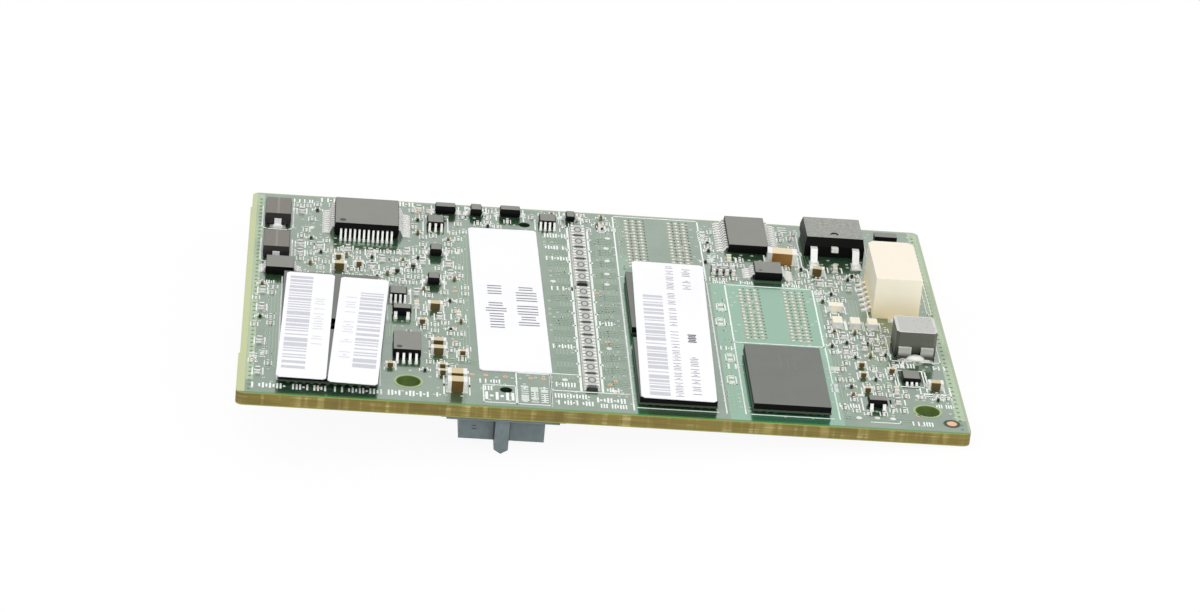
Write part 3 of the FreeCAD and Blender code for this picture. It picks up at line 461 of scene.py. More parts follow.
# ---- holes and copper marks ----
# Screw holes ringed by bare board, and peg holes whose walls and inner discs are painted shade.
# Plated holes are stitched along both short edges, small copper rings lie between the parts,
# and a round copper target sits in a dark ring at the front right.

COPPER = 0.02
SCREW_HOLES = ((17.0, 4.7), (70.1, 4.7))
SCREW_HOLE = 2.5
PEG_HOLES = ((26.9, 4.0), (29.9, 45.4))
PEG_HOLE = 1.3
TARGET = (72.3, 2.15)
STITCH_ROWS, STITCH_PITCH = 50, 0.96


def mottled(name, dark, pale, scale, roughness, swing=0.0, detail=2.0, top=None, **inputs):
    """A finish that wavers between two tones, with a paler tone painted on top as painted highlight
    where given.
    """
    paint = Paint(name)
    cloud = paint.noise(scale, detail)
    colour = paint.mix(cloud, tone(*dark), tone(*pale))
    if top:
        colour = paint.mix(paint.facing()[2].ramp(0.5, 0.9), colour, tone(*top))
    if swing:
        roughness = cloud * swing + roughness
    return paint.done(Base_Color=colour, Roughness=roughness, **inputs)


rim_finish = mottled("bare_rim", (138, 162, 108), (172, 190, 142), 2500.0, 0.45)
wall_finish = mottled("hole_wall", (66, 92, 34), (100, 124, 54), 1800.0, 0.5)
# Painted shade: the peg hole walls are painted near black, as the shade that fills the holes.
peg_hole_shade_finish = mottled("peg_hole_painted_shade", (14, 34, 16), (34, 58, 30), 1800.0, 0.6)
wall_foot = UNDER - TOP + 0.02
rims = Shapes()
walls = Shapes()
for x, y in SCREW_HOLES:
    rims.ring(x, y, 3.05, SCREW_HOLE + 0.02, 0.0, COPPER, sides=40)
    walls.ring(x, y, SCREW_HOLE - 0.01, SCREW_HOLE - 0.1, wall_foot, -0.02, sides=40)
rims.piece("screw_hole_rims", rim_finish)
walls.piece("screw_hole_walls", wall_finish)
# Painted shade: a near-black wall and a near-black disc a little way down each peg hole.
peg_hole_shades = Shapes()
for x, y in PEG_HOLES:
    peg_hole_shades.ring(x, y, PEG_HOLE - 0.01, PEG_HOLE - 0.1, wall_foot, -0.01)
    peg_hole_shades.disc(x, y, 1.08, -0.5, -0.4, sides=20)
peg_hole_shades.piece("peg_hole_painted_shades", peg_hole_shade_finish)

copper_finish = mottled("bare_copper", (224, 172, 132), (242, 200, 164), 3000.0, 0.4,
                        Metallic=0.35)
dark_finish = mottled("dark_opening", (38, 44, 32), (66, 74, 50), 2000.0, 0.55)
coppers = Shapes()
coppers.disc(*TARGET, 1.05, 0.0, COPPER, sides=28)
for x, y in ((7.9, 2.0), (23.5, 7.1), (24.9, 7.1), (26.9, 7.0), (29.5, 7.0), (30.8, 7.0),
             (37.2, 28.6), (37.8, 16.7), (38.2, 7.4), (37.6, 6.6), (67.3, 13.7), (22.0, 27.0),
             (21.9, 17.9), (21.9, 14.6), (18.2, 46.9), (62.3, 22.3), (69.0, 3.6)):
    coppers.ring(x, y, 0.5, 0.2, 0.0, COPPER)
coppers.piece("copper_marks", copper_finish)
darks = Shapes()
darks.ring(*TARGET, 1.75, 1.07, 0.0, 0.012, sides=28)
darks.piece("target_ring", dark_finish)

stitch_finish = mottled("plated_stitches", (92, 120, 80), (120, 146, 106), 2000.0, 0.5)
band_finish = mottled("pale_stitch_band", (158, 180, 150), (184, 200, 174), 2000.0, 0.4)
stitches = Shapes()
for row in range(STITCH_ROWS):
    for x in (0.98, 73.25):
        stitches.disc(x, 1.0 + row * STITCH_PITCH, 0.34, 0.0, 0.016, sides=10)
bands = Shapes()
for x, width in ((0.96, 0.74), (73.33, 1.0)):
    bands.line([(x, 3.4), (x, 49.0)], width, 0.0, 0.008)
stitches.piece("edge_stitches", stitch_finish)
bands.piece("stitch_bands", band_finish)

# ---- tracks ----
# Copper runs under the mask and show as slightly paler green ridges. Bundles cross between the
# plug, the arrays and the memory, and finer ones fan out around the power parts.

TRACK = 0.016
track_finish = mottled("masked_tracks", (96, 138, 102), (122, 158, 120), 700.0, 0.3,
                       Metallic=0.6, Coat_Weight=1.0, Coat_IOR=2.4, Coat_Roughness=0.2)
tracks = Shapes()


def bundle(path, count, step_x, step_y, width=0.1):
    """Parallel tracks, each shifted from the last."""
    for number in range(count):
        tracks.line([(x + step_x * number, y + step_y * number) for x, y in path], width,
                    0.0, TRACK)


for middle in range(13):
    y = 5.8 + middle * 2.93
    bundle([(32.2, y), (34.9, y)], 4, 0.0, 0.42)
    bundle([(36.7, y), (38.0, y + 0.5), (39.5, y + 0.5)], 4, 0.0, 0.42)
bundle([(32.4, 5.0), (32.4, 20.0), (33.2, 22.0), (33.2, 44.0)], 5, 0.36, 0.0)
bundle([(37.2, 5.2), (37.2, 24.0), (37.9, 26.0), (37.9, 44.5)], 5, 0.36, 0.0)
bundle([(40.2, 33.6), (40.2, 48.6)], 2, 0.28, 0.0)
bundle([(40.4, 35.2), (48.6, 35.2)], 2, 0.0, 0.3, 0.14)
bundle([(49.6, 2.0), (49.6, 17.0), (50.3, 19.0), (50.3, 32.0)], 3, 0.4, 0.0)
bundle([(61.2, 2.0), (61.2, 16.0)], 3, 0.35, 0.0)
bundle([(2.4, 6.0), (2.4, 27.0)], 4, 0.34, 0.0)
bundle([(5.9, 28.4), (8.3, 28.4), (8.3, 33.0)], 3, -0.4, 0.3)
bundle([(5.9, 31.6), (5.9, 42.0)], 3, 0.36, 0.0)
bundle([(22.4, 9.5), (22.4, 43.5)], 4, 0.33, 0.0)
bundle([(14.8, 14.6), (14.8, 18.2), (18.6, 18.2)], 3, 0.3, 0.3)
bundle([(18.6, 9.6), (24.0, 9.6)], 3, 0.0, 0.36)
bundle([(9.4, 37.2), (16.8, 37.2)], 2, 0.0, 0.35)
bundle([(8.6, 48.6), (33.0, 48.6)], 3, 0.0, 0.3)
bundle([(61.0, 41.5), (61.0, 31.0), (62.4, 29.6)], 3, -0.3, 0.0)
bundle([(64.4, 26.2), (64.4, 31.0), (66.6, 33.2), (66.6, 38.0)], 3, 0.4, 0.0)
bundle([(49.8, 34.0), (59.6, 34.0)], 2, 0.0, 0.34)
bundle([(61.4, 2.0), (68.4, 2.0)], 2, 0.0, 0.5)
bundle([(65.6, 9.6), (65.6, 14.6), (67.0, 16.0)], 3, 0.4, 0.0)
tracks.piece("board_tracks", track_finish)

# ---- pads, vias and solder ----
# Tinned copper shows where the mask is open: under every lead and chip end, on the empty memory
# places, and as small plated vias between the parts.

tin_paint = Paint("tinned_copper")
tin_cloud = tin_paint.noise(2200.0, 3.0)
tin_finish = tin_paint.done(
    Base_Color=tin_paint.mix(tin_cloud, tone(222, 222, 216), tone(246, 246, 242)),
    Metallic=0.5, Roughness=tin_cloud * 0.2 + 0.22,
    Normal=tin_paint.bump(tin_cloud, 0.00001, 0.4))


def islands(node):
    """The boxes of a node's separate solids, in millimetres from the board's front left."""
    mesh = nodes[node].data
    owner = list(range(len(mesh.vertices)))

    def root(index):
        while owner[index] != index:
            owner[index] = owner[owner[index]]
            index = owner[index]
        return index

    places = {}
    for vertex in mesh.vertices:
        key = tuple(round(value * 2000000) for value in vertex.co)
        if key in places:
            owner[root(vertex.index)] = root(places[key])
        places[key] = vertex.index
    for edge in mesh.edges:
        owner[root(edge.vertices[0])] = root(edge.vertices[1])
    boxes = {}
    for vertex in mesh.vertices:
        x, y, z = [value / MM for value in vertex.co]
        point = (x - LEFT, y - FRONT, z - TOP)
        low, high = boxes.setdefault(root(vertex.index), (list(point), list(point)))
        for axis in range(3):
            low[axis] = min(low[axis], point[axis])
            high[axis] = max(high[axis], point[axis])
    return list(boxes.values())


pads = Shapes()
solder = Shapes()
taken = []


def middle_of(low, high):
    return (low[0] + high[0]) / 2, (low[1] + high[1]) / 2


# The diodes, the monitor and the two transistors at the back have their leads left and right.
side_leads = []
for bodies, count, pitch, width, reach in (("monitor_body", 4, 0.5, 0.24, 0.5),
                                           ("diode_bodies", 1, 0.0, 0.62, 0.5),
                                           ("transistor_bodies", 2, 0.6, 0.34, 0.5)):
    taken += islands(bodies)
    for low, high in islands(bodies):
        x, y = middle_of(low, high)
        for side in (-1, 1):
            if bodies == "transistor_bodies" and y < 40:
                spots = ((x - 0.65, low[1], -90), (x + 0.65, low[1], -90), (x, high[1], 90))
                spots = spots[:2] if side < 0 else spots[2:]
            else:
                edge_x, turn = (low[0], 180) if side < 0 else (high[0], 0)
                spots = [(edge_x, y + (number - (count - 1) / 2) * pitch, turn)
                         for number in range(count)]
            side_leads += [(*spot, width, reach) for spot in spots]
for x, y, turn, width, reach in side_leads:
    foot_x = x + math.cos(math.radians(turn)) * (reach - 0.1)
    foot_y = y + math.sin(math.radians(turn)) * (reach - 0.1)
    pads.block(foot_x, foot_y, 0.7, width + 0.1, 0.0, COPPER, turn)
    solder.dome(foot_x, foot_y, 0.5, 0.5, 0.0, 0.1, sides=8)

# The logic parts have leads in front and behind: four a side on two of them, three on one, and
# three short ones on the low one at the right.
taken += islands("logic_bodies") + islands("logic_lead_rows")
logic_leads = []
for low, high in islands("logic_bodies"):
    x, y = middle_of(low, high)
    count, pitch, reach = (4, 0.5, 0.62) if 15 < x < 17 or 30 < x < 35 else (3, 0.65, 0.62)
    if x > 60:
        count, pitch, reach = 3, 0.5, 0.3
    for end, turn in ((low[1], -90), (high[1], 90)):
        for number in range(count):
            logic_leads.append((x + (number - (count - 1) / 2) * pitch, end, turn, reach))
for x, y, turn, reach in logic_leads:
    foot_y = y + math.sin(math.radians(turn)) * (reach - 0.05)
    pads.block(x, foot_y, 0.34, 0.6, 0.0, COPPER)
    solder.dome(x, foot_y, 0.3, 0.4, 0.0, 0.1, sides=8)

# The larger packages have a pad and a joint under the foot of each lead.
for leads, bodies in (("controller_leads", "controller_body"), ("buffer_leads", "buffer_body"),
                      ("regulator_leads", "regulator_body"), ("switch_leads", "switch_body")):
    body_boxes = islands(bodies)
    taken += body_boxes
    for low, high in islands(leads):
        x, y = middle_of(low, high)
        home = min(body_boxes, key=lambda box: math.dist(middle_of(*box), (x, y)))
        home_x, home_y = middle_of(*home)
        wide, deep = high[0] - low[0], high[1] - low[1]
        taken.append((low, high))
        if wide > deep:
            side = 1 if x > home_x else -1
            foot = x + side * (wide / 2 - 0.12)
            pads.block(foot, y, 0.8, deep + 0.14, 0.0, COPPER)
            solder.dome(foot + side * 0.14, y, 0.42, deep * 1.05, 0.0, 0.14, sides=8)
        else:
            side = 1 if y > home_y else -1
            foot = y + side * (deep / 2 - 0.12)
            pads.block(x, foot, wide + 0.1, 0.8, 0.0, COPPER)
            solder.dome(x, foot + side * 0.14, wide * 1.05, 0.42, 0.0, 0.14, sides=8)

# Chip ends, array ends and header tails have solder drawn up around them.
for ends in ("large_capacitor_ends", "medium_capacitors_ends", "small_capacitors_ends",
             "tiny_capacitors_ends", "resistors_ends", "beads_ends", "array_terminal_rows",
             "inductor_terminals", "power_leads", "header_tails", "header_hold_downs",
             "moulded_strips"):
    for low, high in islands(ends):
        x, y = middle_of(low, high)
        wide, deep, tall = high[0] - low[0], high[1] - low[1], high[2] - low[2]
        taken.append((low, high))
        if ends in ("inductor_terminals", "power_leads", "moulded_strips"):
            continue
        pads.block(x, y, wide + 0.22, deep + 0.22, 0.0, COPPER)
        if ends == "array_terminal_rows":
            pads.block(x, y, 0.5, 0.74, 0.0, 0.018)
        solder.dome(x, y, wide + 0.2, deep + 0.2, 0.0, min(tall * 0.55, 0.3), sides=10, rings=2)
for bodies in ("large_capacitor", "medium_capacitors", "small_capacitors", "tiny_capacitors",
               "resistors", "beads", "array_bodies", "moulded_capacitors", "leadless_chip",
               "power_body", "power_tab", "header_housing", "inductor_core", "flash_chip_front",
               "flash_chip_rear", "memory_chip_front", "memory_chip_middle", "memory_chip_side",
               "plain_label", "serial_label_left", "serial_label_right", "memory_label"):
    taken += islands(bodies)

# The power transistor, the inductor straps and the capacitor strips have broad joints.
for low, high in islands("power_leads"):
    if low[2] < 0.1:
        x, y = middle_of(low, high)
        pads.block(x, low[1] + 0.5, 1.1, 1.9, 0.0, COPPER)
        solder.dome(x, low[1] + 0.35, 0.95, 1.2, 0.0, 0.22, sides=12)
tab_low, tab_high = islands("power_tab")[0]
pads.block((tab_low[0] + tab_high[0]) / 2, (tab_low[1] + tab_high[1]) / 2, 6.2, 3.0, 0.0, COPPER)
for low, high in islands("inductor_terminals"):
    for y in (low[1], high[1]):
        pads.block((low[0] + high[0]) / 2, y, 1.35, 1.0, 0.0, COPPER)
        solder.dome((low[0] + high[0]) / 2, y, 1.0, 0.5, 0.0, 0.12, sides=12)
for low, high in islands("moulded_strips"):
    x, y = middle_of(low, high)
    centre = min(islands("moulded_capacitors"), key=lambda box: math.dist(middle_of(*box), (x, y)))
    side = 1 if y > middle_of(*centre)[1] else -1
    outer = y + side * (high[1] - low[1]) / 2
    pads.block(x, outer, 1.7, 0.9, 0.0, COPPER)
    solder.dome(x, outer + side * 0.02, 1.25, 0.5, 0.0, 0.34, sides=12)

# Empty places: 96 round pads each, in two groups of three columns, with a small via by each pad.
BALL_PITCH = 0.8
field_finish = mottled("dogbone_field", (146, 150, 126), (172, 174, 150), 2600.0, 0.3,
                       detail=3.0, IOR=1.9)
fields = Shapes()
field_holes = Shapes()
for first_x, first_y in ((41.2, 36.12), (52.76, 19.64)):
    for column in (0.0, 0.8, 1.6, 4.8, 5.6, 6.4):
        for row in range(16):
            x, y = first_x + column, first_y + row * BALL_PITCH
            fields.disc(x, y, 0.66, 0.0, 0.008, sides=10)
            field_holes.disc(x + 0.4, y + 0.38, 0.2, 0.0, 0.014, sides=8)
            pads.disc(x, y, 0.38, 0.0, 0.03, sides=10)
            solder.dome(x, y, 0.38, 0.38, 0.03, 0.1, sides=8, rings=2)
fields.piece("pad_fields", field_finish)
field_holes.piece("pad_field_holes", dark_finish)

# Round test pads, and the pads of the chip places that are left empty.
for x, y in ((64.0, 39.9), (62.8, 2.3), (64.7, 2.5), (66.3, 2.5), (39.0, 43.1), (38.7, 40.4),
             (38.7, 37.1), (38.5, 33.7), (38.4, 31.0), (37.9, 15.1), (33.0, 7.1), (32.6, 31.0),
             (22.4, 36.8), (38.0, 5.1), (6.6, 41.2), (13.4, 31.1), (15.0, 36.2), (17.4, 32.6),
             (21.3, 46.3), (23.6, 49.0), (65.5, 13.4), (63.6, 7.6), (69.5, 8.1), (62.5, 17.6),
             (66.6, 21.3)):
    pads.disc(x, y, 0.62, 0.0, COPPER, sides=14)
EMPTY_PLACES = ((50.4, 27.0), (50.1, 23.3), (50.5, 14.7), (50.3, 9.4), (38.4, 45.6), (62.6, 26.6),
                (62.6, 28.2), (9.0, 45.8))
for x, y in EMPTY_PLACES:
    for end in (-0.5, 0.5):
        pads.block(x, y + end, 0.55, 0.5, 0.0, COPPER)
pads.piece("solder_pads", tin_finish)
solder.piece("solder_joints", tin_finish, smooth=True)

# Small plated vias, scattered where no part stands.
VIA_TRIES, VIA_COUNT, VIA_GRID = 2600, 760, 0.4
via_finish = mottled("plated_vias", (184, 200, 180), (222, 228, 214), 2500.0, 0.35, Metallic=0.2)
vias = Shapes()
via_places = []
scatter = random.Random(11)


def around(x, y, reach_x, reach_y):
    """The box that reaches so far to all sides of a point."""
    return (x - reach_x, y - reach_y), (x + reach_x, y + reach_y)


def free(x, y, reach_x, reach_y, boxes):
    """Whether the box around a point stays clear of all the others."""
    return all(x + reach_x < low[0] or x - reach_x > high[0] or y + reach_y < low[1]
               or y - reach_y > high[1] for low, high in boxes)


holes = [around(x, y, 1.7, 1.7) for x, y in SCREW_HOLES]
holes += [((low[0] - 2.4, low[1] + 0.6), (low[0], low[1] + 8.0))
          for low, high in islands("header_housing")]
targets = [around(*TARGET, 1.0, 1.05)] + [around(x, y, 0.8, 0.8) for x, y in PEG_HOLES]
middles = [((43.2, 36.0), (45.7, 48.8)), ((54.8, 19.4), (57.3, 32.4))]
no_vias = taken + holes + targets + middles
for _ in range(VIA_TRIES):
    x, y = scatter.uniform(1.3, 72.9), scatter.uniform(1.3, 48.6)
    x, y = round(x / VIA_GRID) * VIA_GRID, round(y / VIA_GRID) * VIA_GRID
    if free(x, y, 0.22, 0.22, no_vias):
        vias.ring(x, y, 0.34, 0.14, 0.0, TRACK, sides=8)
        via_places.append((x, y))
        no_vias.append(around(x, y, 0.2, 0.2))
    if len(via_places) > VIA_COUNT:
        break
vias.piece("plated_vias", via_finish)

# ---- white printing ----
# White ink on the mask: part outlines, the frames of the memory places, and short rows of plain
# strokes where the board carries print.

ink_finish = mottled("white_ink", (238, 244, 238), (250, 252, 250), 3200.0, 0.5)
ink = Shapes()
INK = 0.024
for x0, y0, x1, y1, width in (
        (39.8, 33.2, 49.25, 49.2, 0.16), (51.2, 18.5, 60.7, 32.8, 0.16),
        (24.6, 1.0, 27.9, 5.0, 0.13), (28.0, 1.0, 31.45, 8.1, 0.13),
        (72.75, 28.2, 73.2, 38.0, 0.1), (67.5, 10.2, 70.8, 14.0, 0.15)):
    ink.frame(x0, y0, x1, y1, width, 0.0, INK)
for x0, y0, x1, y1, width in (
        (39.8, 1.1, 39.8, 33.2, 0.16), (49.25, 1.6, 49.25, 33.2, 0.14),
        (51.2, 1.7, 51.2, 18.5, 0.14), (60.8, 1.7, 60.8, 18.5, 0.14),
        (40.2, 1.7, 48.4, 1.7, 0.14), (51.8, 1.7, 60.2, 1.7, 0.14),
        (3.72, 3.3, 3.72, 28.0, 0.13), (14.15, 3.3, 14.15, 28.0, 0.13),
        (31.5, 4.55, 39.5, 4.55, 0.14), (66.2, 26.2, 66.2, 37.6, 0.13),
        (70.3, 8.7, 72.6, 8.7, 0.3)):
    ink.line([(x0, y0), (x1, y1)], width, 0.0, INK)
ink.line([(31.5, 0.9), (31.5, 8.4), (34.4, 8.4)], 0.14, 0.0, INK)
ink.line([(69.9, 10.4), (69.9, 8.2), (73.0, 8.2), (73.0, 10.4)], 0.15, 0.0, INK)
ink.line([(64.0, 1.5), (67.0, 1.5), (67.0, 2.0)], 0.12, 0.0, INK)
for x in (34.6, 36.8):
    ink.line([(x, 4.7), (x, 45.4)], 0.24, 0.0, INK)
for low, high in islands("array_bodies"):
    x, y = middle_of(low, high)
    if abs(x - 35.7) < 0.5:
        for side in (-1, 1):
            ink.block(x + side * 1.25, high[1] + 0.15, 0.34, 0.3, 0.0, INK)
box_low, box_high = islands("inductor_core")[0]
ink.frame(box_low[0] - 0.45, box_low[1] - 0.9, box_high[0] + 0.45, box_high[1] + 0.8, 0.13, 0.0,
          INK)
box_low, box_high = islands("power_body")[0]
for x in (box_low[0] - 0.45, box_high[0] + 0.45):
    ink.line([(x, box_low[1] - 3.6), (x, box_high[1] + 0.6)], 0.13, 0.0, INK)
for box_low, box_high in islands("moulded_capacitors"):
    ink.line([(box_low[0] - 0.25, box_high[1] + 0.6), (box_low[0] - 0.25, box_low[1] - 0.5),
              (box_low[0] + 0.3, box_low[1] - 0.9), (box_high[0] - 0.3, box_low[1] - 0.9),
              (box_high[0] + 0.25, box_low[1] - 0.5), (box_high[0] + 0.25, box_high[1] + 0.6)],
             0.15, 0.0, INK)
for x, y in EMPTY_PLACES:
    ink.frame(x - 0.45, y - 0.95, x + 0.45, y + 0.95, 0.13, 0.0, INK)
for bodies, reach_x, reach_y in (
        ("resistors", 0.28, 0.5), ("tiny_capacitors", 0.3, 0.52), ("small_capacitors", 0.4, 0.6),
        ("medium_capacitors", 0.5, 0.7), ("large_capacitor", 0.7, 0.5), ("beads", 0.35, 0.6),
        ("transistor_bodies", 0.5, 0.9), ("diode_bodies", 0.5, 0.9), ("logic_bodies", 0.4, 0.8)):
    is_chip = not bodies.startswith(("transistor", "diode", "logic"))
    for low, high in islands(bodies):
        x, y = middle_of(low, high)
        wide, deep = high[0] - low[0], high[1] - low[1]
        reach_side, reach_end = reach_x, reach_y
        if is_chip and wide < deep:
            reach_side, reach_end = reach_y, reach_x
        for side in (-1, 1):
            line_x = x + side * (wide / 2 + reach_side)
            ink.line([(line_x, y - deep / 2 - reach_end), (line_x, y + deep / 2 + reach_end)],
                     0.15, 0.0, INK)


def strokes(x, y, count, tall, turn=0.0, gap=0.62, thick=0.17):
    """A short row of plain strokes where the board carries print."""
    angle = math.radians(turn)
    for number in range(count):
        along = number * gap * tall
        left = x + along * math.cos(angle)
        base = y + along * math.sin(angle)
        for stroke_x, stroke_y, wide, deep in scatter.choice((
                ((0.0, 0.0, thick, 1.0),), ((0.0, 0.0, thick, 1.0), (0.32, 0.0, thick, 1.0)),
                ((0.0, 0.0, thick, 1.0), (0.3, 0.0, 0.2, 0.24)),
                ((0.0, 0.0, thick, 0.6), (0.32, 0.0, thick, 1.0)))):
            px, py = stroke_x * tall, stroke_y * tall
            ink.block(left + px * math.cos(angle) - py * math.sin(angle),
                      base + px * math.sin(angle) + py * math.cos(angle),
                      wide * tall, deep * tall, 0.0, INK, turn)


for x, y, count, tall, turn in (
        (1.3, 1.9, 5, 1.15, 0), (5.4, 1.9, 5, 1.15, 0), (9.6, 1.9, 7, 1.15, 0),
        (15.0, 1.9, 2, 1.15, 0), (16.8, 1.9, 4, 1.15, 0), (19.9, 2.0, 1, 0.95, 0),
        (32.1, 43.0, 4, 1.0, 0), (32.1, 39.8, 4, 1.0, 0), (32.1, 37.0, 4, 1.0, 0),
        (32.4, 29.3, 4, 1.0, 0), (32.1, 15.0, 4, 1.0, 0), (32.1, 6.0, 4, 1.0, 0),
        (37.2, 21.1, 3, 1.0, 0), (37.3, 5.3, 3, 0.9, 0), (31.9, 3.4, 6, 1.0, 0),
        (32.2, 1.9, 6, 1.0, 0), (36.2, 2.9, 5, 1.1, 0), (36.5, 1.6, 5, 0.9, 0),
        (28.8, 1.6, 8, 0.75, 90), (29.8, 1.6, 8, 0.75, 90), (30.8, 1.6, 8, 0.75, 90),
        (24.9, 2.5, 3, 1.7, 0), (24.3, 5.8, 4, 0.9, 0), (24.8, 4.2, 2, 1.0, 0),
        (49.7, 16.9, 3, 0.9, 0), (50.2, 12.6, 2, 1.2, 0), (61.1, 5.0, 4, 0.9, 0),
        (68.3, 1.7, 4, 0.9, 0), (71.2, 6.0, 4, 0.8, 0), (68.6, 15.2, 3, 1.0, 0),
        (71.9, 15.0, 3, 0.9, 0), (7.6, 48.8, 3, 1.1, 0), (15.9, 49.0, 3, 1.1, 0),
        (4.6, 48.2, 4, 0.9, 0), (61.3, 12.6, 3, 0.8, 90), (60.9, 8.0, 4, 0.8, 90),
        (1.2, 7.6, 4, 0.8, 90), (2.1, 8.4, 4, 0.7, 90), (1.6, 26.6, 3, 0.8, 0),
        (2.3, 25.4, 3, 0.8, 0), (67.9, 15.0, 2, 0.9, 0), (58.7, 47.6, 3, 1.0, 90),
        (69.2, 46.4, 3, 0.8, 0), (61.3, 30.2, 5, 0.8, 90), (49.5, 44.0, 5, 0.9, 90),
        (50.2, 38.4, 4, 0.8, 90), (50.0, 33.4, 3, 0.8, 0), (53.0, 33.6, 3, 0.8, 0),
        (57.6, 33.5, 4, 0.8, 0), (16.2, 29.0, 2, 0.8, 0), (10.6, 29.4, 6, 0.8, 0)):
    strokes(x, y, count, tall, turn)

# ---- tiny parts of the power and clock corners ----
# Besides the parts above, rows of the smallest resistors and capacitors fill the corners. Each
# is a ceramic chip with two tinned ends, soldered flat, with a bracket of ink at each side.

# Painted sheen: the resistor tops are painted grey and their sides near black, as lit and shaded
# copies of one glaze.
tiny_paint = Paint("tiny_resistor_glaze")
tiny_lit_top = tiny_paint.facing()[2].ramp(0.6, 0.95)
tiny_sheen_glaze = tiny_paint.mix(tiny_paint.noise(3000.0), tone(104, 106, 104), tone(146, 148, 144))
tiny_finish = tiny_paint.done(
    Base_Color=tiny_paint.mix(tiny_lit_top, tone(34, 34, 34), tiny_sheen_glaze),
    Roughness=0.35)
tan_finish = mottled("tiny_capacitor_ceramic", (104, 84, 48), (146, 124, 84), 3000.0, 0.45)
end_finish = mottled("plated_chip_ends", (228, 228, 222), (248, 248, 244), 2800.0, 0.3,
                     swing=0.2, Metallic=0.3)
CHIP_TRIES, CHIP_GRID_X, CHIP_GRID_Y = 1400, 0.55, 0.5
tiny_bodies = Shapes()
tan_bodies = Shapes()
tiny_ends = Shapes()
tiny_solder = Shapes()
blocked = taken + holes + targets + [((60.9, 37.6), (66.9, 42.0))]
for zone_x0, zone_y0, zone_x1, zone_y1, wanted in (
        (5.2, 28.6, 9.4, 47.6, 22), (9.4, 28.6, 18.6, 37.0, 34), (17.4, 16.4, 23.4, 47.6, 44),
        (14.9, 6.9, 23.4, 16.0, 12), (61.3, 16.4, 67.9, 24.0, 34), (61.3, 29.6, 66.6, 39.6, 24),
        (61.6, 3.0, 68.6, 16.0, 26), (0.9, 6.0, 3.0, 28.0, 10), (57.6, 33.6, 61.0, 47.6, 14),
        (49.7, 33.6, 54.0, 48.6, 14), (24.0, 44.6, 39.4, 48.8, 20), (67.6, 6.8, 72.6, 9.0, 4)):
    made = 0
    for _ in range(CHIP_TRIES):
        if made >= wanted:
            break
        x = round(scatter.uniform(zone_x0, zone_x1) / CHIP_GRID_X) * CHIP_GRID_X
        y = round(scatter.uniform(zone_y0, zone_y1) / CHIP_GRID_Y) * CHIP_GRID_Y
        upright = scatter.random() < 0.82
        wide, deep = (0.3, 0.62) if upright else (0.62, 0.3)
        near_x, near_y = (0.42, 0.72) if upright else (0.72, 0.42)
        if not free(x, y, near_x, near_y, blocked):
            continue
        ceramic = scatter.random() < 0.3
        tall = 0.3 if ceramic else 0.24
        body = tan_bodies if ceramic else tiny_bodies
        for side in (-1, 1):
            end_x = x + (0 if upright else side * 0.22)
            end_y = y + (side * 0.22 if upright else 0)
            tiny_ends.block(end_x, end_y, 0.3 if upright else 0.16, 0.16 if upright else 0.3,
                            0.0, tall + 0.01)
            tiny_solder.dome(end_x + (0 if upright else side * 0.1),
                             end_y + (side * 0.1 if upright else 0), 0.4, 0.4, 0.0, 0.13,
                             sides=8, rings=2)
            line_x = x + side * (0.36 if upright else 0.56)
            ink.line([(line_x, y - (0.42 if upright else 0.24)),
                      (line_x, y + (0.42 if upright else 0.24))], 0.11, 0.0, INK)
        body.block(x, y, 0.28 if upright else 0.3, 0.3 if upright else 0.28, 0.02, tall)
        blocked.append(around(x, y, near_x - 0.22, near_y - 0.22))
        made += 1
tiny_bodies.piece("tiny_resistor_bodies", tiny_finish, round_edge=0.02)
tan_bodies.piece("tiny_capacitor_bodies", tan_finish, round_edge=0.02)
tiny_ends.piece("tiny_chip_ends", end_finish, round_edge=0.03)
tiny_solder.piece("tiny_chip_solder", tin_finish, smooth=True)
ink.piece("white_printing", ink_finish)

# ---- underside ----
# The other face carries the plug, two more memory chips and a few small capacitors. The vias
# come through, the tracks run from the plug to the chips, and white frames mark the places.

under_boxes = [box for name in ("plug_housing", "memory_chip_under_middle",
                                "memory_chip_under_back", "under_capacitors",
                                "under_capacitors_ends") for box in islands(name)]
under_metal = Shapes(level=UNDER)
for x, y in SCREW_HOLES:
    under_metal.ring(x, y, 4.4, SCREW_HOLE + 0.02, -COPPER, 0.0, sides=40)
under_solder = Shapes(level=UNDER)
for low, high in islands("under_capacitors_ends"):
    x, y = middle_of(low, high)
    wide, deep = high[0] - low[0], high[1] - low[1]
    under_metal.block(x, y, wide + 0.24, deep + 0.24, -COPPER, 0.0)
    under_solder.dome(x, y, wide + 0.2, deep + 0.2, 0.0, -0.22, sides=10, rings=2)
under_metal.piece("under_pads", tin_finish)
under_solder.piece("under_solder", tin_finish, smooth=True)
under_vias = Shapes(level=UNDER)
for x, y in via_places:
    if free(x, y, 0.3, 0.3, under_boxes + holes):
        under_vias.ring(x, y, 0.34, 0.14, -TRACK, 0.0, sides=8)
under_vias.piece("under_vias", via_finish)
under_tracks = Shapes(level=UNDER)
for group in range(13):
    y = 3.4 + group * 3.3
    for number in range(4):
        lane = y + number * 0.4
        under_tracks.line([(32.9, lane), (35.4, lane), (36.0, lane + 0.6), (39.8, lane + 0.6)],
                          0.12, -TRACK, 0.0)
        under_tracks.line([(20.4, lane), (15.8, lane), (14.6, lane + 0.8), (8.0, lane + 0.8)],
                          0.12, -TRACK, 0.0)
under_tracks.piece("under_tracks", track_finish)
under_ink = Shapes(level=UNDER)
for name in ("memory_chip_under_middle", "memory_chip_under_back"):
    low, high = islands(name)[0]
    under_ink.frame(low[0] - 0.45, low[1] - 0.45, high[0] + 0.45, high[1] + 0.45, 0.15,
                    -INK, 0.0)
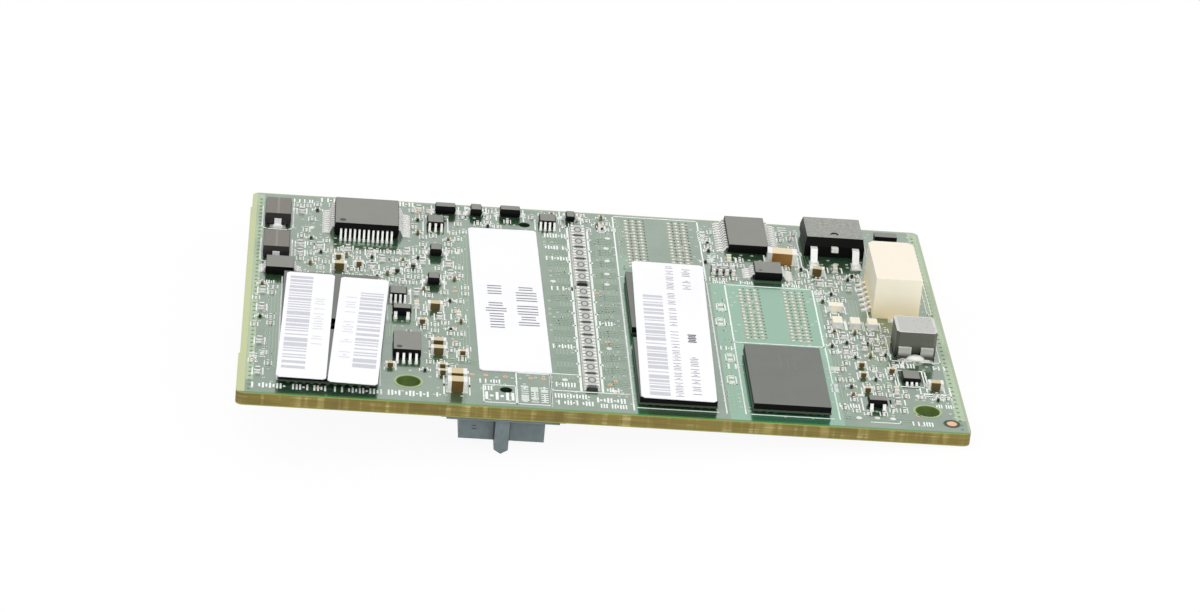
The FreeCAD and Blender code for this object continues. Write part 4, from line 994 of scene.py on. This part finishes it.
for low, high in islands("under_capacitors"):
    x, y = middle_of(low, high)
    reach_x, reach_y = (high[0] - low[0]) / 2 + 0.3, (high[1] - low[1]) / 2 + 0.5
    for side in (-1, 1):
        under_ink.line([(x + side * reach_x, y - reach_y), (x + side * reach_x, y + reach_y)],
                       0.13, -INK, 0.0)
plug_low, plug_high = islands("plug_housing")[0]
for x in (plug_low[0] - 0.3, plug_high[0] + 0.3):
    under_ink.line([(x, 2.2), (x, 47.6)], 0.15, -INK, 0.0)
under_ink.piece("under_printing", ink_finish)

# ---- mezzanine plug ----
# A grey glass-filled moulding with a slightly rough skin, pressed to the board by two pegs. The
# thin lip of its flange reaches past it at both ends, and the gold blades inside it stand on both
# sides of its tongue.

plug_paint = Paint("grey_plug_moulding")
plug_grain = plug_paint.noise(1600.0, 3.0)
plug_cloud = plug_paint.noise(220.0, 2.0)
plug_colour = plug_paint.mix(plug_cloud, tone(96, 108, 110), tone(112, 124, 126))
plug_finish = plug_paint.done(
    Base_Color=plug_paint.mix(plug_grain.ramp(0.45, 0.75) * 0.4, plug_colour, tone(80, 90, 94)),
    Roughness=plug_grain * 0.2 + 0.42,
    Normal=plug_paint.bump(plug_grain, 0.00003, 0.5))
dress("plug_housing", plug_finish, round_edge=0.08)

plug_x, plug_y = middle_of(plug_low, plug_high)
lips = Shapes(level=UNDER)
for side in (-1, 1):
    seat, tip = plug_y + side * 23.4, plug_y + side * 24.75
    outline = [(plug_x - 6.3, seat), (plug_x + 6.3, seat), (plug_x + 6.3, tip), (plug_x - 6.3, tip)]
    lips.slab(outline, -0.14, 0.0)
    lips.slab([(plug_x + (x - plug_x) * 0.91, y) for x, y in outline], -0.34, -0.14)
lips.piece("plug_flange_lips", plug_finish, round_edge=0.05)

gold_finish = mottled("gold_blades", (206, 164, 84), (232, 196, 120), 1500.0, 0.2, swing=0.15,
                      Metallic=1.0)
dress("plug_contacts", gold_finish, round_edge=0.04)

wall_y = plug_low[1] + 1.0
seam_finish = mottled("plug_seams", (48, 56, 58), (66, 74, 76), 1500.0, 0.6)
seams = Shapes(level=UNDER)
for x in (plug_x - 0.8, plug_x + 0.8):
    seams.block(x, wall_y + 0.06, 0.1, 0.16, -3.02, -0.36)
seams.block(plug_x, wall_y + 0.06, 8.6, 0.14, -0.42, -0.36)
seams.piece("plug_seams", seam_finish)
mark = Shapes(level=UNDER)
mark.block(plug_x - 2.8, wall_y + 0.02, 0.46, 0.08, -1.98, -1.88)
mark.block(plug_x - 2.8, wall_y + 0.02, 0.3, 0.08, -1.62, -1.54)
mark.piece("plug_cavity_mark", seam_finish)

# ---- memory and flash chips ----
# Flat black packages on rows of solder balls. The saw leaves crisp sides, the moulded top is
# finely matt and painted mid grey over the black as painted sheen, and a thin edge of green
# substrate shows below.

mould_paint = Paint("black_mould")
mould_grain = mould_paint.noise(5200.0, 3.0)
mould_cloud = mould_paint.noise(340.0, 2.0)
# Painted sheen: the tops are painted mid grey with paler clouds, while the sides stay black.
mould_lit_top = mould_paint.facing()[2].size().ramp(0.6, 0.95)
mould_colour = mould_paint.mix(mould_lit_top, tone(8, 8, 8), tone(134, 135, 129))
mould_colour = mould_paint.mix(mould_cloud * 0.3 * mould_lit_top, mould_colour, tone(156, 157, 150))
mould_finish = mould_paint.done(
    Base_Color=mould_colour,
    Roughness=mould_grain * 0.14 + 0.4,
    Normal=mould_paint.bump(mould_grain, 0.00001, 0.55),
    Specular_IOR_Level=0.12)
substrate_paint = Paint("chip_mould_and_substrate")
substrate_grain = substrate_paint.noise(5200.0, 3.0)
substrate_cloud = substrate_paint.noise(340.0, 2.0)
substrate_z = substrate_paint.millimetres()[2]
# Painted sheen: the chip tops are painted mid grey with paler clouds over black sides.
chip_lit_top = substrate_paint.facing()[2].ramp(0.6, 0.95)
ball_gap = 0.25
substrate_low = ((substrate_z > TOP + ball_gap - 0.01)
                 * (substrate_z < TOP + ball_gap + 0.19))
chip_colour = substrate_paint.mix(chip_lit_top, tone(8, 8, 8), tone(112, 114, 110))
chip_colour = substrate_paint.mix(substrate_cloud * 0.35 * chip_lit_top, chip_colour,
                                  tone(136, 138, 132))
chip_finish = substrate_paint.done(
    Base_Color=substrate_paint.mix(substrate_low, chip_colour, tone(70, 84, 66)),
    Roughness=substrate_grain * 0.14 + 0.4,
    Normal=substrate_paint.bump(substrate_grain, 0.00001, 0.55),
    Specular_IOR_Level=0.12)

balls = Shapes()
MEMORY_BALLS = [(column, row * BALL_PITCH - 6.0) for column in (-3.2, -2.4, -1.6, 1.6, 2.4, 3.2)
                for row in range(16)]
FLASH_BALLS = [(column * BALL_PITCH - 4.0, row * BALL_PITCH - 4.8) for column in range(11)
               for row in range(13)]
ball_rings = ((0.0, 0.16), (0.06, 0.22), (0.125, 0.24), (0.19, 0.22), (ball_gap, 0.16))
under_rings = [(UNDER - TOP - height, girth) for height, girth in ball_rings[::2]]
for names, finish, spots, rings in (
        (("memory_chip_front", "memory_chip_middle", "memory_chip_side"), chip_finish,
         MEMORY_BALLS, ball_rings),
        (("flash_chip_front", "flash_chip_rear"), chip_finish, FLASH_BALLS, ball_rings),
        (("memory_chip_under_middle", "memory_chip_under_back"), mould_finish, MEMORY_BALLS,
         under_rings)):
    for name in names:
        dress(name, finish, round_edge=0.03)
        x, y = middle_of(*islands(name)[0])
        for ball_x, ball_y in spots:
            balls.barrel(x + ball_x, y + ball_y, rings)
balls.piece("solder_balls", tin_finish, smooth=True)

# Faint laser marks on the bare memory chip: plain bars and a round pin-one ring.
PRINT = 0.006
etch_finish = mottled("laser_marks", (98, 100, 94), (132, 133, 126), 5000.0, 0.6)
etch = Shapes()
side_low, side_high = islands("memory_chip_side")[0]
side_x, side_y = middle_of(side_low, side_high)
for bar_x, bar_y, bar_wide, bar_long in ((-0.5, 3.0, 0.16, 3.4), (0.3, 2.6, 0.16, 2.6),
                                         (1.0, 2.9, 0.16, 3.0)):
    etch.block(side_x + bar_x, side_y + bar_y, bar_wide, bar_long, side_high[2],
               side_high[2] + PRINT)
etch.ring(side_x - 3.3, side_y - 6.3, 0.5, 0.36, side_high[2], side_high[2] + PRINT)
etch.piece("laser_marks", etch_finish)

# ---- paper labels ----
# White coated paper. The two over the flash chips and the one over the memory carry plain bars
# and short strokes, and the one on the bare board two rows of plain grey bars.

paper_paint = Paint("coated_paper")
paper_fibre = paper_paint.noise(2600.0, 4.0)
paper_cloud = paper_paint.noise(60.0, 2.0)
paper_finish = paper_paint.done(
    Base_Color=paper_paint.mix(paper_cloud, tone(242, 242, 246), tone(250, 250, 253)),
    Roughness=paper_fibre * 0.1 + 0.45,
    Normal=paper_paint.bump(paper_fibre, 0.000008, 0.4))
for name in ("serial_label_left", "serial_label_right", "memory_label", "plain_label"):
    dress(name, paper_finish)

print_finish = mottled("label_print", (58, 58, 64), (88, 88, 94), 4000.0, 0.55)
grey_finish = mottled("grey_label_print", (84, 84, 90), (120, 120, 126), 4000.0, 0.55)
pale_finish = mottled("pale_label_print", (190, 190, 197), (212, 212, 219), 4000.0, 0.55)
faint_finish = mottled("faint_label_print", (206, 206, 212), (226, 226, 231), 4000.0, 0.55)
prints = Shapes()
grey_prints = Shapes()
pale_prints = Shapes()
faint_prints = Shapes()
stripe = random.Random(5)


def on_label(low, high, turn, along, across):
    """A point on a label, from its own middle."""
    angle = math.radians(turn)
    x, y = middle_of(low, high)
    return (x + across * math.cos(angle) - along * math.sin(angle),
            y + across * math.sin(angle) + along * math.cos(angle))


def barcode(shapes, label, turn, across, wide, start, end, thin):
    """Plain bars of uneven width that follow one another along the label."""
    low, high = islands(label)[0]
    along = start
    while along < end:
        bar = stripe.choice((1, 1, 2, 3)) * thin
        x, y = on_label(low, high, turn, along + bar / 2, across)
        shapes.block(x, y, wide, bar, high[2], high[2] + PRINT, turn)
        along += bar + stripe.choice((1, 1, 2)) * thin


def label_strokes(shapes, label, turn, across, tall, start, count, gap, thick=0.12):
    """Plain strokes standing for a line of print that runs along the label."""
    low, high = islands(label)[0]
    for number in range(count):
        if stripe.random() < 0.12:
            continue
        along = start + number * gap
        kind = stripe.choice((0, 0, 1, 2))
        for shift, wide, deep in (((0.0, tall, thick),),
                                  ((0.0, tall, thick), (gap * 0.5, tall * 0.8, thick)),
                                  ((0.0, tall, thick), (gap * 0.42, tall * 0.4, thick)))[kind]:
            x, y = on_label(low, high, turn, along + shift, across)
            shapes.block(x, y, wide, deep, high[2], high[2] + PRINT, turn)


barcode(pale_prints, "serial_label_left", -1.4, -0.9, 2.4, -10.6, 11.6, 0.3)
label_strokes(faint_prints, "serial_label_left", -1.4, 1.2, 1.1, -4.6, 10, 1.2, thick=0.2)
barcode(pale_prints, "serial_label_right", -2.6, 0.95, 2.4, -9.0, 9.3, 0.3)
label_strokes(faint_prints, "serial_label_right", -2.6, -1.15, 1.1, -6.8, 13, 1.2, thick=0.2)
barcode(pale_prints, "memory_label", -1.2, -1.9, 2.1, -16.0, 7.8, 0.28)
label_strokes(grey_prints, "memory_label", -1.2, 0.1, 0.85, -15.9, 42, 0.76, thick=0.1)
label_strokes(grey_prints, "memory_label", -1.2, 1.9, 0.9, -15.2, 11, 0.82)
label_strokes(prints, "memory_label", -1.2, 1.9, 0.9, -3.7, 4, 0.82, thick=0.28)
label_strokes(grey_prints, "memory_label", -1.2, 1.9, 0.9, 10.2, 7, 0.82)
plain_low, plain_high = islands("plain_label")[0]
for across, start, pairs in ((-1.45, -7.4, 5), (-1.45, 0.9, 2), (1.9, -6.6, 4), (1.9, -0.6, 3)):
    for number in range(pairs):
        tall = stripe.choice((1.5, 1.5, 2.2))
        for along in (start + number * 1.34, start + number * 1.34 + 0.6):
            x, y = on_label(plain_low, plain_high, 1.0, along, across)
            grey_prints.block(x, y, tall, 0.21, plain_high[2], plain_high[2] + PRINT, 1.0)
prints.piece("label_print", print_finish)
grey_prints.piece("label_grey_print", grey_finish)
pale_prints.piece("label_barcodes", pale_finish)
faint_prints.piece("label_faint_print", faint_finish)

# ---- leaded packages ----
# Black moulded packages whose tinned leads leave them half way up and bend down to the pads. The
# smallest ones have drafted sides, and leads bent from strip in the number and place of each.

lead_finish = mottled("tinned_leads", (236, 236, 232), (250, 250, 248), 2400.0, 0.26,
                      swing=0.15, Metallic=0.15)
for name in ("controller", "buffer", "regulator", "switch", "monitor"):
    dress(f"{name}_body", mould_finish, round_edge=0.05)
    dress(f"{name}_leads", lead_finish, round_edge=0.03)
for name, metal in (("logic_bodies", "logic_lead_rows"),
                    ("transistor_bodies", "transistor_lead_sets"),
                    ("diode_bodies", "diode_lead_pairs")):
    dress(name, mould_finish, round_edge=0.04)
    dress(metal, lead_finish, round_edge=0.03)
small_mouldings = Shapes()
for name in ("transistor_bodies", "diode_bodies", "logic_bodies"):
    for low, high in islands(name):
        x, y = middle_of(low, high)
        wide, deep, tall = high[0] - low[0], high[1] - low[1], high[2]
        if name == "transistor_bodies" and y > 40:
            wide += 0.3
        elif name == "diode_bodies" and x > 33:
            wide, tall = wide - 0.3, tall - 0.25
        elif name == "logic_bodies" and x > 60:
            tall = 0.6
        small_mouldings.moulding(x, y, wide, deep, low[2], tall)
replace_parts(small_mouldings.piece("small_mouldings", mould_finish,
                                  round_edge=0.03),
            "transistor_bodies", "diode_bodies", "logic_bodies")
dress("leadless_chip", mould_finish, round_edge=0.04)
wings = Shapes()
for x, y, turn, width, reach in side_leads:
    wings.bent(x, y, turn, width, [
        (-0.02, 0.56), (0.14, 0.56), (reach * 0.56, 0.14), (reach, 0.14), (reach, 0.0),
        (reach * 0.42, 0.0), (0.04, 0.42), (-0.02, 0.42)])
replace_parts(wings.piece("side_leads", lead_finish),
            "monitor_leads", "diode_lead_pairs", "transistor_lead_sets")
gulls = Shapes()
for x, y, turn, reach in logic_leads:
    rise = 0.66 if reach > 0.5 else 0.22
    gulls.bent(x, y, turn, 0.24, [
        (-0.02, rise), (reach * 0.34, rise), (reach * 0.62, 0.14), (reach, 0.14), (reach, 0.0),
        (reach * 0.5, 0.0), (reach * 0.24, rise - 0.14), (-0.02, rise - 0.14)])
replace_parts(gulls.piece("logic_leads", lead_finish), "logic_lead_rows")
pin_ones = Shapes()
for name, dot_x, dot_y, wide in (("controller_body", -2.6, -2.6, 0.7),
                                 ("switch_body", -0.8, -1.5, 0.6),
                                 ("regulator_body", -0.9, -0.9, 0.35)):
    low, high = islands(name)[0]
    x, y = middle_of(low, high)
    pin_ones.disc(x + dot_x, y + dot_y, wide, high[2], high[2] + PRINT, sides=20)
pin_ones.piece("pin_one_marks", seam_finish)

# ---- power transistor ----
# A thick black moulding, painted mid grey on top as painted sheen, on a tinned copper tab,
# soldered flat behind, with two long outer leads and the sheared stub of the middle one.

power_paint = Paint("power_mould")
power_grain = power_paint.noise(2600.0, 3.0)
# Painted sheen: the top is painted grey with paler grain, while the sides stay black.
power_lit_top = power_paint.facing()[2].ramp(0.6, 0.95)
power_colour = power_paint.mix(power_lit_top, tone(8, 8, 8), tone(146, 147, 141))
power_colour = power_paint.mix(power_grain.ramp(0.4, 0.65) * 0.7 * power_lit_top, power_colour,
                               tone(176, 177, 171))
power_finish = power_paint.done(
    Base_Color=power_colour, Roughness=power_grain * 0.14 + 0.4,
    Normal=power_paint.bump(power_grain, 0.00001, 0.55), Specular_IOR_Level=0.12)
dress("power_body", power_finish, round_edge=0.07)
dress("power_tab", lead_finish, round_edge=0.05)
dress("power_leads", lead_finish, round_edge=0.04)

# ---- cable header ----
# Cream heat-resistant plastic, glossy on the moulded faces and a little yellower low down, its
# upright faces painted paler than its top as painted light, with a gate mark on its top and
# square gold pins inside its mouth.

cream_paint = Paint("cream_header_plastic")
cream_z = cream_paint.millimetres()[2]
cream_cloud = cream_paint.noise(240.0, 2.0)
cream_low = 1.0 - (cream_z - TOP).ramp(0.0, 3.0)
cream_colour = cream_paint.mix(cream_cloud, tone(254, 249, 232), tone(252, 241, 216))
cream_colour = cream_paint.mix(cream_low * 0.8, cream_colour, tone(250, 228, 176))
# Painted light: the upright faces keep a paler, warmer cream than the top, to make up for light
# they lack.
cream_dimmer_top = cream_paint.facing()[2].ramp(0.6, 0.95)
cream_colour = cream_paint.mix(cream_dimmer_top, cream_colour, tone(245, 235, 218))
cream_finish = cream_paint.done(
    Base_Color=cream_colour,
    Roughness=cream_cloud * 0.1 + 0.36,
    Normal=cream_paint.bump(cream_paint.noise(3000.0), 0.000006, 0.4))
dress("header_housing", cream_finish, round_edge=0.12)
dress("header_pins", gold_finish, round_edge=0.04)
dress("header_tails", lead_finish, round_edge=0.03)
dress("header_hold_downs", lead_finish, round_edge=0.04)
header_low, header_high = islands("header_housing")[0]
feet = Shapes()
for low, high in islands("header_hold_downs"):
    x, y = middle_of(low, high)
    side = 1 if y > middle_of(header_low, header_high)[1] else -1
    edge_y = header_high[1] if side > 0 else header_low[1]
    feet.block(x, edge_y + side * 0.16, high[0] - low[0], 0.3, 0.0, 0.07)
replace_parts(feet.piece("header_feet", lead_finish, round_edge=0.02), "header_hold_downs")
gate = Shapes()
gate_x, gate_y, gate_z = header_low[0] + 1.3, header_low[1] + 1.2, header_high[2]
gate.ring(gate_x, gate_y, 0.95, 0.8, gate_z - 0.01, gate_z + 0.012, sides=28)
gate.disc(gate_x, gate_y, 0.16, gate_z - 0.01, gate_z + 0.02, sides=12)
gate.piece("header_gate_mark", cream_finish)

# ---- power inductor ----
# A block of pressed grey powder with sparkling flecks, painted pale on top as painted light, with
# painted highlights along the top's edges and painted shade low on its sides, held by two broad
# tinned straps.

powder_paint = Paint("pressed_powder")
powder_x, powder_y, powder_z = powder_paint.millimetres()
powder_grain = powder_paint.noise(2600.0, 4.0)
core_low, core_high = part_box("inductor_core")
core_x = (core_low[0] + core_high[0]) / 2 / MM
core_y = (core_low[1] + core_high[1]) / 2 / MM
core_reach = (powder_x - core_x).size().highest((powder_y - core_y).size())
# Painted light: the top is painted much paler than the sides, and paler still near its edges as
# painted highlight.
powder_lit_top = powder_paint.facing()[2].ramp(0.5, 0.9)
powder_colour = powder_paint.mix(powder_lit_top, tone(92, 94, 84), tone(188, 188, 184))
powder_colour = powder_paint.mix((core_reach > 1.85) * powder_lit_top * 0.6, powder_colour,
                                 tone(222, 222, 218))
# Painted shade: the sides darken to near black towards the board.
powder_shade_low = (1.0 - (powder_z - TOP).ramp(0.5, 1.6)) * (1.0 - powder_lit_top)
powder_colour = powder_paint.mix(powder_shade_low, powder_colour, tone(26, 26, 22))
flecks = powder_grain.ramp(0.58, 0.7) * (powder_x > core_x - 0.4)
powder_colour = powder_paint.mix(flecks * 0.5, powder_colour, tone(120, 118, 118))
powder_finish = powder_paint.done(
    Base_Color=powder_colour, Roughness=0.5,
    Normal=powder_paint.bump(powder_grain, 0.00003, 0.6))
dress("inductor_core", powder_finish, round_edge=0.12)
strap_paint = Paint("inductor_straps")
# Painted highlight on the straps' tops, and a painted reflection of the dark board and its shade
# darkening them low down.
strap_highlight_top = strap_paint.facing()[2].ramp(0.3, 0.8)
strap_z = strap_paint.millimetres()[2]
strap_side_reflection = strap_paint.mix((strap_z - TOP).ramp(0.35, 0.8), tone(70, 70, 64), tone(190, 190, 182))
strap_finish = strap_paint.done(
    Base_Color=strap_paint.mix(strap_highlight_top, strap_side_reflection, tone(248, 248, 244)),
    Metallic=0.3, Roughness=0.3)
dress("inductor_terminals", strap_finish, round_edge=0.08)
fillets = Shapes()
for y in (core_low[1] / MM - FRONT - 0.45, core_high[1] / MM - FRONT + 0.45):
    fillets.dome(core_x - LEFT, y, 2.1, 1.1, 0.0, 0.62, sides=18, rings=5)
fillets.piece("inductor_solder", tin_finish, smooth=True)

# ---- moulded capacitors ----
# Brown moulded cases with a pressed middle line, painted grey on top as painted sheen over
# near-black sides whose lower half is a little bluer, each held by a tinned strip at both ends.

case_paint = Paint("brown_moulded_case")
case_place = case_paint.millimetres()
case_grain = case_paint.noise(2600.0, 3.0)
case_low, case_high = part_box("moulded_capacitors")
case_middle = (case_low[0] + case_high[0]) / 2 / MM
# Painted sheen: the tops are painted grey, while the sides stay near black.
case_lit_top = case_paint.facing()[2].ramp(0.6, 0.95)
centre_line = ((case_place[0] - case_middle).size() < 0.12) * case_lit_top
case_colour = case_paint.mix(case_lit_top, tone(36, 30, 28), tone(112, 108, 101))
case_colour = case_paint.mix(case_grain.ramp(0.4, 0.7) * 0.25 * case_lit_top, case_colour,
                             tone(134, 129, 120))
case_colour = case_paint.mix(centre_line * 0.35, case_colour, tone(158, 156, 150))
lower_half = (case_place[2] < TOP + 0.76) * (1.0 - case_lit_top)
case_colour = case_paint.mix(lower_half, case_colour, tone(34, 28, 40))
case_finish = case_paint.done(
    Base_Color=case_colour, Roughness=case_grain * 0.1 + 0.42,
    Normal=case_paint.bump(case_grain, 0.00001, 0.5))
dress("moulded_capacitors", case_finish, round_edge=0.06)
dress("moulded_strips", lead_finish, round_edge=0.04)

# ---- resistor arrays ----
# Four resistors in one ceramic bar: a pale grey glazed top with a printed ring on it, sides
# painted darker as painted shade and near black low down, and four bright plated ends down each
# side. Dark bars of painted shade lie across its two short ends and on the board beyond them.

glaze_paint = Paint("array_glaze")
glaze_cloud = glaze_paint.noise(2400.0, 2.0)
glaze_top = glaze_paint.facing()[2].ramp(0.6, 0.95)
glaze_colour = glaze_paint.mix(glaze_cloud, tone(168, 170, 166), tone(198, 200, 194))
glaze_z = glaze_paint.millimetres()[2]
# Painted shade: the sides are painted darker than the top, and near black below 0.22 mm.
glaze_shaded_side = glaze_paint.mix(glaze_z > TOP + 0.22, tone(44, 44, 42), tone(124, 126, 122))
glaze_finish = glaze_paint.done(
    Base_Color=glaze_paint.mix(glaze_top, glaze_shaded_side, glaze_colour),
    Roughness=glaze_cloud * 0.2 + 0.25)
dress("array_bodies", glaze_finish, round_edge=0.04)
dress("array_terminal_rows", end_finish, round_edge=0.05)
film_finish = mottled("array_resistor_film", (84, 86, 82), (118, 120, 114), 3000.0, 0.4)
# Painted shade: dark bars across both ends of each array top, and dark blocks on the board in the
# gaps between arrays.
gap_shade_finish = mottled("array_gap_shade", (34, 38, 34), (58, 62, 56), 3000.0, 0.6)
films = Shapes()
gap_shades = Shapes()
for low, high in islands("array_bodies"):
    x, y = middle_of(low, high)
    wide, deep = high[0] - low[0], high[1] - low[1]
    across, along = (wide, deep) if wide < deep else (deep, wide)
    oval = (1.0, 1.75) if wide < deep else (1.75, 1.0)
    films.ring(x, y, across * 0.96, across * 0.64, high[2], high[2] + PRINT, 20, oval)
    for end in (-1, 1):
        reach = end * (along / 2 - 0.05)
        if wide < deep:
            gap_shades.block(x, y + reach, across + 0.3, 0.1, high[2] - 0.02, high[2] + PRINT)
            gap_shades.block(x, y + reach + end * 0.13, across + 0.3, 0.14, 0.0, 0.3)
        else:
            gap_shades.block(x + reach, y, 0.1, across, high[2] - 0.02, high[2] + PRINT)
films.piece("array_films", film_finish)
gap_shades.piece("array_gap_painted_shades", gap_shade_finish)

# ---- chip capacitors, resistors and beads ----
# Layered ceramic in three browns, painted pale on top as painted highlight, with wrapped plated
# ends, dark resistors painted grey on top as painted sheen, and cream ferrite beads.

# Painted highlight: the three ceramics are painted much paler on top than on their sides.
ceramic_finish = mottled("layered_ceramic", (74, 62, 28), (98, 84, 44), 1400.0, 0.38,
                         swing=0.15, detail=3.0, top=(206, 192, 158))
amber_finish = mottled("amber_ceramic", (134, 94, 36), (162, 118, 54), 1100.0, 0.34,
                       swing=0.15, detail=3.0, top=(230, 214, 178))
brown_finish = mottled("brown_ceramic", (78, 58, 16), (104, 80, 28), 1100.0, 0.36,
                       swing=0.15, detail=3.0, top=(206, 190, 154))
for name, ceramic in (("large_capacitor", amber_finish), ("medium_capacitors", brown_finish),
                      ("small_capacitors", ceramic_finish), ("tiny_capacitors", ceramic_finish),
                      ("under_capacitors", ceramic_finish)):
    dress(name, ceramic, round_edge=0.05)
    dress(f"{name}_ends", end_finish, round_edge=0.06)
dress("resistors", tiny_finish, round_edge=0.03)
dress("resistors_ends", end_finish, round_edge=0.05)
bead_finish = mottled("cream_ferrite", (238, 226, 196), (250, 242, 222), 1400.0, 0.4,
                      swing=0.1, detail=3.0)
dress("beads", bead_finish, round_edge=0.06)
dress("beads_ends", end_finish, round_edge=0.06)
